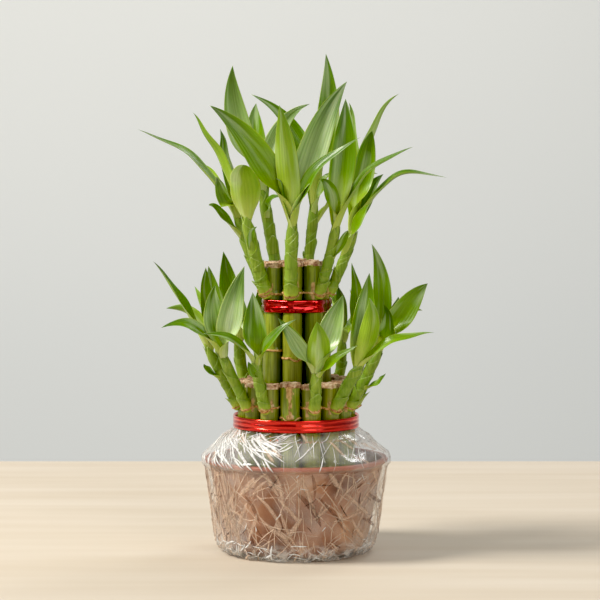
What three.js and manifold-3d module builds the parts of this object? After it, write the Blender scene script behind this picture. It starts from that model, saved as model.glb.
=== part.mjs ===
// A two-tier lucky bamboo: two tied rings of cut canes with leafy shoots, in a wrapped plastic bowl.
// Millimetres, +Z up, the front towards -Y. The origin is the centre of the flat underside.
import * as THREE from "three";
import { mergeVertices } from "three/addons/utils/BufferGeometryUtils.js";
import Module from "manifold-3d";

const wasm = await Module();
wasm.setup();

// Driving dimensions

// Clear room between neighbours, the number of sides of what is round, and how near points are one point
const GAP = 0.3;
const ROUND = 30;
const SEAM = 1e-4;

// Outlines are lists of radius and height, from the axis outwards and up

const FILM = 0.6;
const FILM_OUTSIDE = [
  [0, 0],
  [34.4, 0],
  [38.2, 3],
  [40.8, 9],
  [42, 18],
  [44, 32],
  [45.6, 43.8],
  [47.1, 45],
  [47.1, 48.4],
  [44, 52.4],
  [37.4, 59.2],
  [33, 61],
  [30.75, 62],
  [30.75, 68],
];

const BOWL_WALL = 1.6;
const BOWL_OUTSIDE = [
  [0, 0.9],
  [31.4, 0.9],
  [34.6, 3.8],
  [36.8, 9.4],
  [38.3, 18],
  [40.7, 32],
  [43.8, 44.6],
];
const BOWL_LIP = [
  [46.1, 45.2],
  [46.1, 47.5],
  [42.7, 47.5],
];

// The hole in the gravel holds the whole bundle of canes, and its floor is under their feet
const GRAVEL_TOP = 41.5;
const GRAVEL_RELIEF = 1.1;
const GRAVEL_SLOPES = 3;
const BUNDLE_HOLE = 30.25;
const BUNDLE_FLOOR = 5;

// Canes: their radius, the raised ring at each node and the worn edge of the cut top
const CANE = 4.95;
const CANE_FOOT = BUNDLE_FLOOR + GAP;
const CANE_SIDES = 9;
const NODE_RING = 0.15;
const NODE_HALF_HEIGHT = 1.3;
const CUT_EDGE = 0.5;

// Rings of canes: the first cane's angle in degrees, the ring's radius at its foot and how it closes in
const UPPER = { count: 7, first: -8, ring: 14.2, lean: 0.0171, top: 145, nodes: [100, 130] };
const LOWER = { count: 15, first: -6.4, ring: 24.8, lean: 0, top: 86, nodes: [74] };
const CORE_TOP = 147;

const UPPER_TIE = { low: 120.4, high: 126.8, thick: 0.7, cornerSteps: 3 };
const LOWER_TIE = { low: 62.5, high: 68.8, thick: 0.65, wraps: 3, groove: 0.3 };

// Shoots: the stem's radius, how deep its foot sits in the cane's skin and how far it swings out
const STEM = 2.6;
const STEM_SIDES = 6;
const STEM_STEPS = 5;
const STEM_FOOT_SWELL = 0.12;
const STEM_HEAD_TAPER = 0.35;
const STEM_HEAD = 0.85;
const STEM_ROOT = 1;
const STEM_SWING = 1.5;
const STEM_RISE = 7;

// Blades: thickness, fold and outline, and the share of its length over which each turns to face its way
const BLADE = 1.1;
const BLADE_EDGE = 0.35;
const BLADE_SIDES = 6;
const BLADE_STEPS = 5;
const BLADE_FOLD = 0.3;
const BLADE_THINNING = 0.4;
const BLADE_UNFOLDING = 0.5;
const BLADE_TURN = 0.5;
const BLADE_REACH = 0.4 * STEM;
const BLADE_FULLNESS = 0.8;
const BLADE_FOOT = 0.3;
const BLADE_FOOT_FALL = 4;

// The way in which a leaf's upper face looks

const FRONT = [0, -1, 0.2];
const FRONT_LEFT = [-0.8, -1, 0.2];
const FRONT_RIGHT = [0.8, -1, 0.2];
const UP_FRONT = [0, -0.6, 0.8];
const UP = [0, -0.25, 1];
const BACK = [0, 1, 0.2];
const BACK_UP = [0, 0.6, 0.8];

// Surfaces: fresh leaf, ripe cane, red foil, brown plastic, gravel and clear film

const leafMaterial = new THREE.MeshStandardMaterial({ color: 0x5c9a1e, roughness: 0.4 });
const caneMaterial = new THREE.MeshStandardMaterial({ color: 0x6f8a2a, roughness: 0.45 });
const foilMaterial = new THREE.MeshStandardMaterial({ color: 0xc4141c, roughness: 0.2, metalness: 0.9 });
const plasticMaterial = new THREE.MeshStandardMaterial({ color: 0x8e6a54, roughness: 0.4 });
const gravelMaterial = new THREE.MeshStandardMaterial({ color: 0x7d766c, roughness: 0.9 });
const filmMaterial = new THREE.MeshStandardMaterial({ color: 0xe4e8e4, roughness: 0.1 });

function named(name, geometry, surface) {
  const mesh = new THREE.Mesh(geometry, surface);
  mesh.name = name;
  return mesh;
}

// Closed solids for joining and cutting

function toSolid(geometry) {
  const bare = new THREE.BufferGeometry();
  bare.setAttribute("position", geometry.getAttribute("position"));
  if (geometry.index) bare.setIndex(geometry.index);
  const merged = mergeVertices(bare, SEAM);
  return new wasm.Manifold(
    new wasm.Mesh({
      numProp: 3,
      vertProperties: merged.attributes.position.array,
      triVerts: new Uint32Array(merged.index.array),
    }),
  );
}

function toGeometry(solid) {
  const mesh = solid.getMesh();
  return new THREE.BufferGeometry()
    .setAttribute("position", new THREE.BufferAttribute(mesh.vertProperties, 3))
    .setIndex(new THREE.BufferAttribute(mesh.triVerts, 1));
}

function largestPiece(solid) {
  return solid.decompose().reduce((best, piece) => (piece.volume() > best.volume() ? piece : best));
}

// Turned shapes

function turned(profile, sides = ROUND) {
  const points = profile.map(([radius, height]) => new THREE.Vector2(radius, height));
  return new THREE.LatheGeometry(points, sides).rotateX(Math.PI / 2);
}

// The outline moved inwards by the wall, with its corners mitred.
function insideOf(outline, wall) {
  const normals = outline.slice(1).map(([radius, height], i) => {
    const along = new THREE.Vector2(radius - outline[i][0], height - outline[i][1]).normalize();
    return new THREE.Vector2(-along.y, along.x);
  });
  return outline.map(([radius, height], i) => {
    const before = normals[Math.max(i - 1, 0)];
    const after = normals[Math.min(i, normals.length - 1)];
    const middle = before.clone().add(after).normalize();
    const reach = wall / middle.dot(after);
    return [Math.max(radius + middle.x * reach, 0), height + middle.y * reach];
  });
}

function bowl() {
  const inside = insideOf(BOWL_OUTSIDE, BOWL_WALL);
  return turned([...BOWL_OUTSIDE, ...BOWL_LIP, ...inside.reverse()]);
}

function film() {
  return turned([...FILM_OUTSIDE, ...insideOf(FILM_OUTSIDE, FILM).reverse()]);
}

// Evenly scattered numbers from -1 to 1, the same on every run.
function scatter(index) {
  const goldenShare = (Math.sqrt(5) - 1) / 2;
  return ((index * goldenShare) % 1) * 2 - 1;
}

// The bed fills the bowl up to its top and leaves one hole that the tied canes stand in.
function gravelBed() {
  const wall = insideOf(BOWL_OUTSIDE, BOWL_WALL + GAP);
  const [low, high] = wall.slice(-2);
  const wallSide = wall.slice(0, -1);
  const shore = GRAVEL_TOP - GRAVEL_RELIEF;
  const rim = THREE.MathUtils.mapLinear(shore, low[1], high[1], low[0], high[0]);
  const step = (rim - BUNDLE_HOLE) / GRAVEL_SLOPES;
  const geometry = turned([
    ...wallSide,
    [rim, shore],
    [rim - step, GRAVEL_TOP],
    [BUNDLE_HOLE + step, GRAVEL_TOP],
    [BUNDLE_HOLE, shore],
    [BUNDLE_HOLE, BUNDLE_FLOOR],
    [0, BUNDLE_FLOOR],
  ]);
  const position = geometry.getAttribute("position");
  for (let i = 0; i < position.count; i += 1) {
    if (position.getZ(i) < GRAVEL_TOP - GRAVEL_RELIEF / 2) continue;
    const column = Math.round(Math.atan2(position.getY(i), position.getX(i)) * ROUND);
    position.setZ(i, GRAVEL_TOP + scatter(Math.abs(column)) * GRAVEL_RELIEF);
  }
  return geometry;
}

// Canes

function radians(degrees) {
  return (degrees * Math.PI) / 180;
}

// An angle of 0 looks to the front, and 90 to the right.
function outwards(degrees) {
  return new THREE.Vector3(Math.sin(radians(degrees)), -Math.cos(radians(degrees)), 0);
}

function caneAngle(tier, index) {
  return tier.first + (360 / tier.count) * index;
}

function caneRadiusAt(tier, height) {
  return tier.ring - (height - CANE_FOOT) * tier.lean;
}

function cane(top, nodes) {
  const length = top - CANE_FOOT;
  const rings = nodes.flatMap((node) => [
    [CANE, node - CANE_FOOT - NODE_HALF_HEIGHT],
    [CANE + NODE_RING, node - CANE_FOOT],
    [CANE, node - CANE_FOOT + NODE_HALF_HEIGHT],
  ]);
  const cut = [
    [CANE, length - CUT_EDGE],
    [CANE - CUT_EDGE, length],
    [0, length],
  ];
  return turned([[0, 0], [CANE, 0], ...rings, ...cut], CANE_SIDES);
}

function canePlace(tier, index) {
  const angle = caneAngle(tier, index);
  const foot = outwards(angle).multiplyScalar(tier.ring).setZ(CANE_FOOT);
  const head = outwards(angle).multiplyScalar(caneRadiusAt(tier, tier.top)).setZ(tier.top);
  const upright = new THREE.Vector3(0, 0, 1);
  const lean = new THREE.Quaternion().setFromUnitVectors(upright, head.sub(foot).normalize());
  return new THREE.Matrix4().compose(foot, lean, new THREE.Vector3(1, 1, 1));
}

function caneTier(name, tier) {
  const group = new THREE.Group();
  for (let index = 0; index < tier.count; index += 1) {
    const mesh = named(`cane_${name}_${index + 1}`, cane(tier.top, tier.nodes), caneMaterial);
    mesh.applyMatrix4(canePlace(tier, index));
    group.add(mesh);
  }
  return group;
}

function coreCane() {
  const mesh = named("cane_core", cane(CORE_TOP, UPPER.nodes), caneMaterial);
  mesh.position.z = CANE_FOOT;
  return mesh;
}

// The room that the canes beside a shoot take up, with a gap round each.
function caneRoom(tier, index) {
  const length = tier.top - CANE_FOOT + 2 * GAP;
  const radius = (CANE + NODE_RING + GAP) / Math.cos(Math.PI / CANE_SIDES);
  const room = new THREE.CylinderGeometry(radius, radius, length, CANE_SIDES)
    .rotateX(Math.PI / 2)
    .translate(0, 0, length / 2 - GAP);
  return toSolid(room.applyMatrix4(canePlace(tier, index)));
}

// Ties

// An outline that hugs the canes of a ring at the given distance from their skin.
function hugging(curve, tier, height, distance) {
  const half = 180 / tier.count;
  for (let index = 0; index < tier.count; index += 1) {
    const angle = caneAngle(tier, index);
    const centre = outwards(angle).multiplyScalar(caneRadiusAt(tier, height));
    const start = radians(angle - half - 90);
    const end = radians(angle + half - 90);
    curve.absarc(centre.x, centre.y, CANE + distance, start, end, false);
  }
  return curve;
}

function upperTie() {
  const middle = (UPPER_TIE.low + UPPER_TIE.high) / 2;
  const shape = hugging(new THREE.Shape(), UPPER, middle, GAP + UPPER_TIE.thick);
  shape.holes.push(hugging(new THREE.Path(), UPPER, middle, GAP));
  const height = UPPER_TIE.high - UPPER_TIE.low;
  const band = { depth: height, bevelEnabled: false, curveSegments: UPPER_TIE.cornerSteps };
  return new THREE.ExtrudeGeometry(shape, band).translate(0, 0, UPPER_TIE.low);
}

function lowerTie() {
  const inner = FILM_OUTSIDE.at(-1)[0] + GAP;
  const outer = inner + LOWER_TIE.thick;
  const groove = outer - LOWER_TIE.groove;
  const wrap = (LOWER_TIE.high - LOWER_TIE.low) / LOWER_TIE.wraps;
  const ridges = [];
  for (let i = 0; i < LOWER_TIE.wraps; i += 1) {
    const low = LOWER_TIE.low + wrap * i;
    ridges.push([groove, low], [outer, low + wrap / 2]);
  }
  const start = [inner, LOWER_TIE.low];
  return turned([start, ...ridges, [groove, LOWER_TIE.high], [inner, LOWER_TIE.high], start]);
}

// Leafy shoots

function vector([x, y, z]) {
  return new THREE.Vector3(x, y, z);
}

// A curve from one point to another that passes the middle point half-way.
function curveThrough(from, middle, to) {
  const ends = from.clone().add(to).multiplyScalar(0.5);
  const control = middle.clone().multiplyScalar(2).sub(ends);
  return new THREE.QuadraticBezierCurve3(from, control, to);
}

// A closed bar, bent along a curve: the size gives half its width, half its thickness and its fold.
function bentBar(curve, sides, steps, face, size) {
  const bar = new THREE.CylinderGeometry(1, 1, 1, sides, steps);
  const position = bar.getAttribute("position");
  for (let i = 0; i < position.count; i += 1) {
    const side = position.getX(i);
    const front = position.getZ(i);
    const place = THREE.MathUtils.clamp(position.getY(i) + 0.5, 0, 1);
    const along = curve.getTangent(place);
    const across = new THREE.Vector3().crossVectors(along, face(place)).normalize();
    const upper = new THREE.Vector3().crossVectors(across, along).normalize();
    const { half, thick, fold } = size(place);
    const point = curve.getPoint(place).addScaledVector(across, side * half);
    point.addScaledVector(upper, front * thick + Math.abs(side) * half * fold);
    position.setXYZ(i, point.x, point.y, point.z);
  }
  return toSolid(bar);
}

function smooth(low, high, value) {
  return THREE.MathUtils.smoothstep(value, low, high);
}

// A blade is narrow where it leaves the stem, widest before its middle, and pointed.
function bladeWidth(place) {
  return Math.sin(Math.PI * place ** BLADE_FULLNESS) + BLADE_FOOT * (1 - place) ** BLADE_FOOT_FALL;
}

function blade(stem, { at, mid, tip, width, face }) {
  const seen = vector(face).normalize();
  const away = vector(tip).sub(stem.getPoint(1)).setZ(0).normalize();
  const foot = stem.getPoint(at).addScaledVector(away, BLADE_REACH);
  const curve = curveThrough(foot, vector(mid), vector(tip));
  const clasp = new THREE.Vector3(0, 0, 1).sub(away).normalize();
  const facing = (place) => clasp.clone().lerp(seen, smooth(0, BLADE_TURN, place));
  return bentBar(curve, BLADE_SIDES, BLADE_STEPS, facing, (place) => ({
    half: Math.max(0.5 * width * bladeWidth(place), BLADE_EDGE),
    thick: 0.5 * BLADE * (1 - BLADE_THINNING * place),
    fold: BLADE_FOLD * (1 - BLADE_UNFOLDING * place),
  }));
}

// The stem leaves its cane at a node and turns upwards, close along the cane.
function stemCurve(tier, index, { side, top }) {
  const node = tier.nodes.at(-1);
  const angle = caneAngle(tier, index);
  const way = outwards(side ?? angle);
  const centre = outwards(angle).multiplyScalar(caneRadiusAt(tier, node));
  const foot = centre.clone().addScaledVector(way, CANE - STEM_ROOT).setZ(node - NODE_HALF_HEIGHT);
  const bend = centre.clone().addScaledVector(way, CANE + STEM + STEM_SWING).setZ(node + STEM_RISE);
  return new THREE.QuadraticBezierCurve3(foot, bend, vector(top));
}

function stemBar(curve, radius) {
  const face = () => new THREE.Vector3(0, -1, 0);
  return bentBar(curve, STEM_SIDES, STEM_STEPS, face, (place) => {
    const swell = STEM_FOOT_SWELL * (1 - place);
    const taper = STEM_HEAD_TAPER * smooth(STEM_HEAD, 1, place);
    const size = radius * (1 + swell - taper);
    return { half: size, thick: size, fold: 0 };
  });
}

function shoot(tier, index, plan) {
  const stem = stemCurve(tier, index, plan);
  let solid = stemBar(stem, plan.thick ?? STEM);
  for (const leaf of plan.leaves) solid = solid.add(blade(stem, leaf));
  for (const near of [-1, 0, 1]) {
    solid = solid.subtract(caneRoom(tier, (index + near + tier.count) % tier.count));
  }
  return toGeometry(largestPiece(solid));
}

// Leaves: where each leaves its stem, the place it passes half-way, its tip, its width and its upper face

const UPPER_SHOOTS = [
  {
    top: [-1.5, -22, 168],
    thick: 3.1,
    leaves: [
      { at: 0.9, mid: [-19, -24, 199], tip: [-42, -27, 222], width: 13.5, face: FRONT },
      { at: 0.88, mid: [-4.5, -28, 197], tip: [-8, -32, 222], width: 11, face: BACK },
      { at: 0.88, mid: [10, -21, 205], tip: [25, -19, 234], width: 14, face: FRONT },
      { at: 0.8, mid: [8, -27, 187], tip: [31.5, -33, 206], width: 8.5, face: UP_FRONT },
      { at: 0.75, mid: [-5, -24, 178], tip: [-10, -23, 187], width: 5.5, face: FRONT_RIGHT },
    ],
  },
  {
    top: [21, -18, 169],
    leaves: [
      { at: 0.9, mid: [17, -19, 180], tip: [11.5, -18, 186], width: 7, face: FRONT },
      { at: 0.88, mid: [23.5, -12, 200], tip: [24.5, -9, 226], width: 12.5, face: FRONT },
      { at: 0.72, mid: [33, -21, 186], tip: [57.5, -26, 201.5], width: 9, face: UP },
      { at: 0.45, mid: [23, -19, 156], tip: [25.5, -20, 161], width: 4, face: FRONT },
    ],
  },
  {
    top: [30, 2, 163],
    leaves: [
      { at: 0.55, mid: [32, -4, 166], tip: [37.5, -8, 174], width: 7, face: UP_FRONT },
      { at: 0.85, mid: [47, -3, 185], tip: [75, -8, 187], width: 8, face: UP },
      { at: 0.88, mid: [34, 0, 193], tip: [38, -1, 210.5], width: 11, face: FRONT },
      { at: 0.88, mid: [30, 8, 198], tip: [26.5, 10, 225], width: 9, face: FRONT_LEFT },
      { at: 0.83, mid: [36, 12, 203], tip: [52, 14, 229.5], width: 7.5, face: [-0.8, 0.6, 0.2] },
      { at: 0.7, mid: [36, 6, 177], tip: [44, 7, 189], width: 8, face: UP_FRONT },
    ],
  },
  {
    side: 190,
    top: [10, 19, 180],
    leaves: [
      { at: 0.9, mid: [16, 14, 215], tip: [15, 10, 249.5], width: 12.2, face: FRONT },
      { at: 0.86, mid: [2, 24, 206], tip: [-23, 24, 230], width: 9, face: FRONT },
      { at: 0.8, mid: [14, 13, 184], tip: [21.5, 8, 190.5], width: 5, face: UP_FRONT },
      { at: 0.85, mid: [11, 34, 198], tip: [14, 47, 212], width: 9, face: BACK_UP },
      { at: 0.75, mid: [25, 28, 182], tip: [42, 36, 190], width: 8, face: BACK_UP },
    ],
  },
  {
    side: -135,
    top: [-18, 18, 188],
    thick: 3,
    leaves: [
      { at: 0.9, mid: [-30, 20, 216], tip: [-32, 16, 244], width: 12.5, face: FRONT },
      { at: 0.84, mid: [-20.5, 27, 206], tip: [-20.5, 30, 225.5], width: 10.5, face: FRONT },
      { at: 0.88, mid: [-10, 12, 208], tip: [7, 4, 224], width: 9, face: FRONT },
      { at: 0.7, mid: [-13, 12, 175], tip: [-7, 8, 177], width: 5.5, face: UP_FRONT },
      { at: 0.85, mid: [-22, 34, 196], tip: [-30, 46, 206], width: 9, face: BACK_UP },
    ],
  },
  {
    top: [-31, 8, 172],
    leaves: [
      { at: 0.7, mid: [-38, 4, 169], tip: [-43.5, 0, 173.5], width: 6.5, face: UP_FRONT },
      { at: 0.9, mid: [-36, 1, 180], tip: [-39.5, -2, 188], width: 8.5, face: FRONT_LEFT },
      { at: 0.9, mid: [-52, 8, 196], tip: [-80, 10, 211], width: 8, face: UP },
      { at: 0.88, mid: [-36, 12, 194], tip: [-38, 14, 212], width: 8, face: FRONT_RIGHT },
      { at: 0.9, mid: [-40, 22, 184], tip: [-50, 34, 196], width: 9, face: BACK_UP },
    ],
  },
  {
    top: [-25.5, -15, 172],
    thick: 3.1,
    leaves: [
      { at: 0.88, mid: [-25.5, -25, 184], tip: [-25, -36, 193], width: 15, face: [0, -0.3, 1] },
      { at: 0.9, mid: [-39.5, -14, 199], tip: [-51, -16, 218.5], width: 9.5, face: [0.9, 0.5, 0.3] },
      { at: 0.5, mid: [-22, -16, 157], tip: [-19, -18, 163], width: 4.5, face: FRONT },
    ],
  },
];

const LOWER_SHOOTS = [
  null,
  {
    top: [9.5, -32, 93],
    leaves: [
      { at: 0.9, mid: [0, -34, 107], tip: [-8.5, -34, 119], width: 8, face: FRONT },
      { at: 0.88, mid: [11, -38, 106], tip: [10, -43, 118], width: 11, face: BACK },
      { at: 0.9, mid: [17, -30, 113], tip: [23, -28, 130], width: 12, face: FRONT },
      { at: 0.8, mid: [18, -37, 98], tip: [30, -40, 106.5], width: 6, face: UP_FRONT },
    ],
  },
  {
    top: [32, -28, 97],
    thick: 2.9,
    leaves: [
      { at: 0.88, mid: [36, -33, 114], tip: [35.5, -36, 129], width: 9.5, face: BACK },
      { at: 0.8, mid: [46, -33, 107], tip: [67, -36, 111.5], width: 7, face: UP_FRONT },
      { at: 0.88, mid: [33.5, -24, 119], tip: [36, -22, 140.5], width: 11, face: FRONT },
    ],
  },
  {
    top: [42, -16, 103],
    leaves: [
      { at: 0.9, mid: [46, -19, 113], tip: [43, -22, 125], width: 10, face: FRONT_LEFT },
      { at: 0.88, mid: [54, -15, 122], tip: [65, -15, 135], width: 12, face: FRONT },
      { at: 0.4, mid: [40, -18, 86], tip: [44, -20, 91], width: 4, face: UP_FRONT },
      { at: 0.9, mid: [48, -8, 117], tip: [51, -6, 128], width: 7, face: FRONT },
    ],
  },
  {
    top: [41, 2, 104],
    leaves: [
      { at: 0.88, mid: [43, 0, 130], tip: [37.5, -4, 154.5], width: 9.5, face: FRONT },
      { at: 0.9, mid: [52, 6, 116], tip: [64, 10, 120], width: 9, face: BACK_UP },
      { at: 0.78, mid: [46, -4, 112], tip: [54, -7, 118], width: 7, face: UP_FRONT },
    ],
  },
  {
    top: [33, 17, 104],
    leaves: [
      { at: 0.88, mid: [32, 13, 125], tip: [28, 9, 144.5], width: 9, face: FRONT_LEFT },
      { at: 0.86, mid: [42, 24, 117], tip: [50, 34, 124], width: 10, face: BACK_UP },
      { at: 0.85, mid: [30, 26, 116], tip: [28, 36, 130], width: 9, face: BACK_UP },
    ],
  },
  {
    top: [24, 28, 106],
    leaves: [
      { at: 0.88, mid: [24, 24, 119], tip: [21, 19, 133], width: 9, face: FRONT_LEFT },
      { at: 0.9, mid: [31, 40, 114], tip: [40, 55, 116], width: 9, face: BACK_UP },
      { at: 0.8, mid: [20, 41, 117], tip: [18, 53, 130], width: 9, face: BACK_UP },
    ],
  },
  {
    top: [10, 36, 104],
    leaves: [
      { at: 0.88, mid: [8, 35, 122], tip: [8, 30, 140], width: 11, face: FRONT },
      { at: 0.9, mid: [13, 50, 112], tip: [18, 65, 112], width: 9, face: BACK_UP },
      { at: 0.85, mid: [6, 48, 118], tip: [6, 60, 130], width: 10, face: BACK_UP },
    ],
  },
  {
    top: [-3, 37, 104],
    leaves: [
      { at: 0.88, mid: [-4, 38, 122], tip: [-6, 35, 138], width: 11, face: FRONT },
      { at: 0.9, mid: [-5, 50, 112], tip: [-8, 66, 113], width: 9, face: BACK_UP },
      { at: 0.85, mid: [-3, 46, 120], tip: [-3, 52, 136], width: 9, face: BACK_UP },
    ],
  },
  {
    top: [-17, 31, 104],
    leaves: [
      { at: 0.88, mid: [-17, 30, 122], tip: [-15, 26, 137], width: 10, face: FRONT },
      { at: 0.9, mid: [-22, 45, 112], tip: [-28, 58, 113], width: 9, face: BACK_UP },
      { at: 0.85, mid: [-16, 44, 118], tip: [-17, 54, 132], width: 9, face: BACK_UP },
    ],
  },
  {
    top: [-30, 22, 106],
    thick: 2.9,
    leaves: [
      { at: 0.88, mid: [-34, 20, 129], tip: [-37, 16, 150], width: 11, face: FRONT },
      { at: 0.9, mid: [-39, 34, 116], tip: [-48, 44, 120], width: 9, face: BACK_UP },
      { at: 0.85, mid: [-29, 33, 118], tip: [-28, 42, 132], width: 9, face: BACK_UP },
    ],
  },
  {
    top: [-40, 7, 104],
    leaves: [
      { at: 0.88, mid: [-41, 6, 124], tip: [-44, 3, 143], width: 10, face: FRONT },
      { at: 0.9, mid: [-52, 10, 117], tip: [-66, 14, 121], width: 9, face: BACK_UP },
      { at: 0.85, mid: [-46, 14, 118], tip: [-52, 20, 132], width: 9, face: BACK_UP },
    ],
  },
  {
    top: [-45, -9, 105],
    leaves: [
      { at: 0.9, mid: [-58, -11, 127], tip: [-70.5, -14, 146], width: 9, face: UP },
      { at: 0.88, mid: [-45, -12, 126], tip: [-44.5, -15, 143], width: 9, face: FRONT_RIGHT },
      { at: 0.5, mid: [-43, -11, 91], tip: [-45.5, -12, 95], width: 4, face: UP_FRONT },
    ],
  },
  {
    top: [-37, -24, 102],
    leaves: [
      { at: 0.9, mid: [-50, -27, 114], tip: [-65.5, -30, 114], width: 7.5, face: UP_FRONT },
      { at: 0.88, mid: [-40, -22, 119], tip: [-39.5, -23, 134.5], width: 10.5, face: FRONT },
      { at: 0.88, mid: [-31, -28, 122], tip: [-25, -26, 144], width: 12, face: FRONT },
    ],
  },
  {
    top: [-20, -31, 99],
    leaves: [
      { at: 0.88, mid: [-20, -31, 115], tip: [-21, -31, 131.5], width: 11.5, face: FRONT },
      { at: 0.9, mid: [-30, -37, 108], tip: [-46, -40, 112], width: 6.5, face: UP_FRONT },
      { at: 0.85, mid: [-12, -35, 108], tip: [0.5, -38, 119], width: 7, face: UP_FRONT },
      { at: 0.6, mid: [-21.5, -34, 94], tip: [-23, -36, 98], width: 4, face: FRONT },
    ],
  },
];

function shootTier(name, tier, plans) {
  const group = new THREE.Group();
  plans.forEach((plan, index) => {
    if (plan) group.add(named(`shoot_${name}_${index + 1}`, shoot(tier, index, plan), leafMaterial));
  });
  return group;
}

// The whole plant in its bowl

const plant = new THREE.Group();

const holder = new THREE.Group();
holder.add(named("film_wrap", film(), filmMaterial));
holder.add(named("bowl", bowl(), plasticMaterial));
holder.add(named("gravel", gravelBed(), gravelMaterial));
plant.add(holder);

const canes = new THREE.Group();
canes.add(coreCane(), caneTier("upper", UPPER), caneTier("lower", LOWER));
plant.add(canes);

const ties = new THREE.Group();
ties.add(named("ribbon_upper", upperTie(), foilMaterial));
ties.add(named("ribbon_lower", lowerTie(), foilMaterial));
plant.add(ties);

plant.add(shootTier("upper", UPPER, UPPER_SHOOTS));
plant.add(shootTier("lower", LOWER, LOWER_SHOOTS));

export default plant;
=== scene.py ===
# A two-tier lucky bamboo in its wrapped bowl: the finished surfaces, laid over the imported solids.
# Shapes are worked out in millimetres, +Z up, the front towards -Y, and turned to metres at the end.
import math
import random
from bisect import bisect_right
from collections import namedtuple
from functools import partial

import bmesh
import bpy
from mathutils import Matrix, Vector, noise


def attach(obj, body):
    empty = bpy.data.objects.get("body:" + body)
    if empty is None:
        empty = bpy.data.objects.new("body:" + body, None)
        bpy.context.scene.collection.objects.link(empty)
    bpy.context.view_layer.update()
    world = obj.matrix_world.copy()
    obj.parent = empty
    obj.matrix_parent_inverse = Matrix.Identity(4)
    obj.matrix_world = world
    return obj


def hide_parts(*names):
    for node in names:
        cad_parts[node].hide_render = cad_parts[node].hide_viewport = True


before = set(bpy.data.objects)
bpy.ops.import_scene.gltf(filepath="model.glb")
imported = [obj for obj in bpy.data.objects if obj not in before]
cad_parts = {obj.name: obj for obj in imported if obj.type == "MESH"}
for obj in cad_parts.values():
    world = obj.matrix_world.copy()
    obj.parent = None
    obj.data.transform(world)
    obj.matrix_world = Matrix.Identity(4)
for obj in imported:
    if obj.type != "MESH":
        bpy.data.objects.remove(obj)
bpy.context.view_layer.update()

# Driving dimensions, the same as in the solids. CANE and STEM are radii

MM = 0.001
GAP = 0.3
CANE = 4.95
CANE_FOOT = 5.3
NODE_HALF_HEIGHT = 1.3
STEM = 2.6
STEM_SWING = 1.5
STEM_RISE = 7
CORE_TOP = 147

# A ring of canes: how many there are, the angle of the first, the ring's radius at their feet, how far
# they lean inwards for each millimetre of height, and the heights of their tops and nodes
Tier = namedtuple("Tier", "name count first ring lean top nodes")
UPPER = Tier("upper", 7, -8, 14.2, 0.0171, 145, (100, 130))
LOWER = Tier("lower", 15, -6.4, 24.8, 0, 86, (74,))

# Outlines are lists of radius and height, from the axis outwards and up

FILM_OUTSIDE = [
    (0, 0), (34.4, 0), (38.2, 3), (40.8, 9), (42, 18), (44, 32), (45.6, 43.8), (47.1, 45),
    (47.1, 48.4), (44, 52.4), (37.4, 59.2), (33, 61), (30.75, 62), (30.75, 68),
]
FILM_THICK = 0.12
BOWL_SECTION = [
    (0, 0.9), (31.2, 0.9), (34.5, 3.8), (36.8, 9.4), (38.3, 18), (40.7, 32), (43.8, 44.7),
    (45.8, 45.2), (46.2, 46.3), (45.8, 47.4), (42.9, 47.5), (42.2, 45), (39.1, 32.3),
    (36.7, 18.2), (35.2, 9.8), (33, 4.7), (30.6, 2.5), (0, 2.5),
]
GRAVEL_SECTION = [
    (0, 5), (30.25, 5), (30.25, 40.6), (32.5, 41.6), (35, 41.2), (38.4, 41.6), (40.6, 40.4),
    (38.6, 32), (36.3, 18), (34.8, 10), (32.6, 5.2), (30.4, 2.9), (0, 2.9),
]

# A tie's lower and upper edge, and how far its inner and outer face are from the axis. The upper tie
# hugs its canes, and its faces are so far from their middles
Tie = namedtuple("Tie", "low high inner outer")
LOWER_TIE = Tie(62.5, 68.8, 31.05, 31.7)
UPPER_TIE = Tie(120.4, 126.8, CANE + GAP, CANE + GAP + 0.7)

# The way in which a leaf's upper face looks

FRONT = (0, -1, 0.2)
FRONT_LEFT = (-0.8, -1, 0.2)
FRONT_RIGHT = (0.8, -1, 0.2)
UP_FRONT = (0, -0.6, 0.8)
UP = (0, -0.25, 1)
BACK = (0, 1, 0.2)
BACK_UP = (0, 0.6, 0.8)

# Leaves: where each leaves its stem, the place it passes half-way, its tip, its width, its upper face,
# and 1 if it gets a strong painted silvery sheen over its lower half.
# Shoots: where the stem ends, its leaves, its radius, the side it leaves from if that isn't outwards,
# and the torn dry sheaths at its foot: where each starts, its height and the side it is on

Leaf = namedtuple("Leaf", "at mid tip width face waxy", defaults=(FRONT, 0.0))
Shoot = namedtuple("Shoot", "top leaves thick side papery", defaults=(STEM, None, ()))

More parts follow.
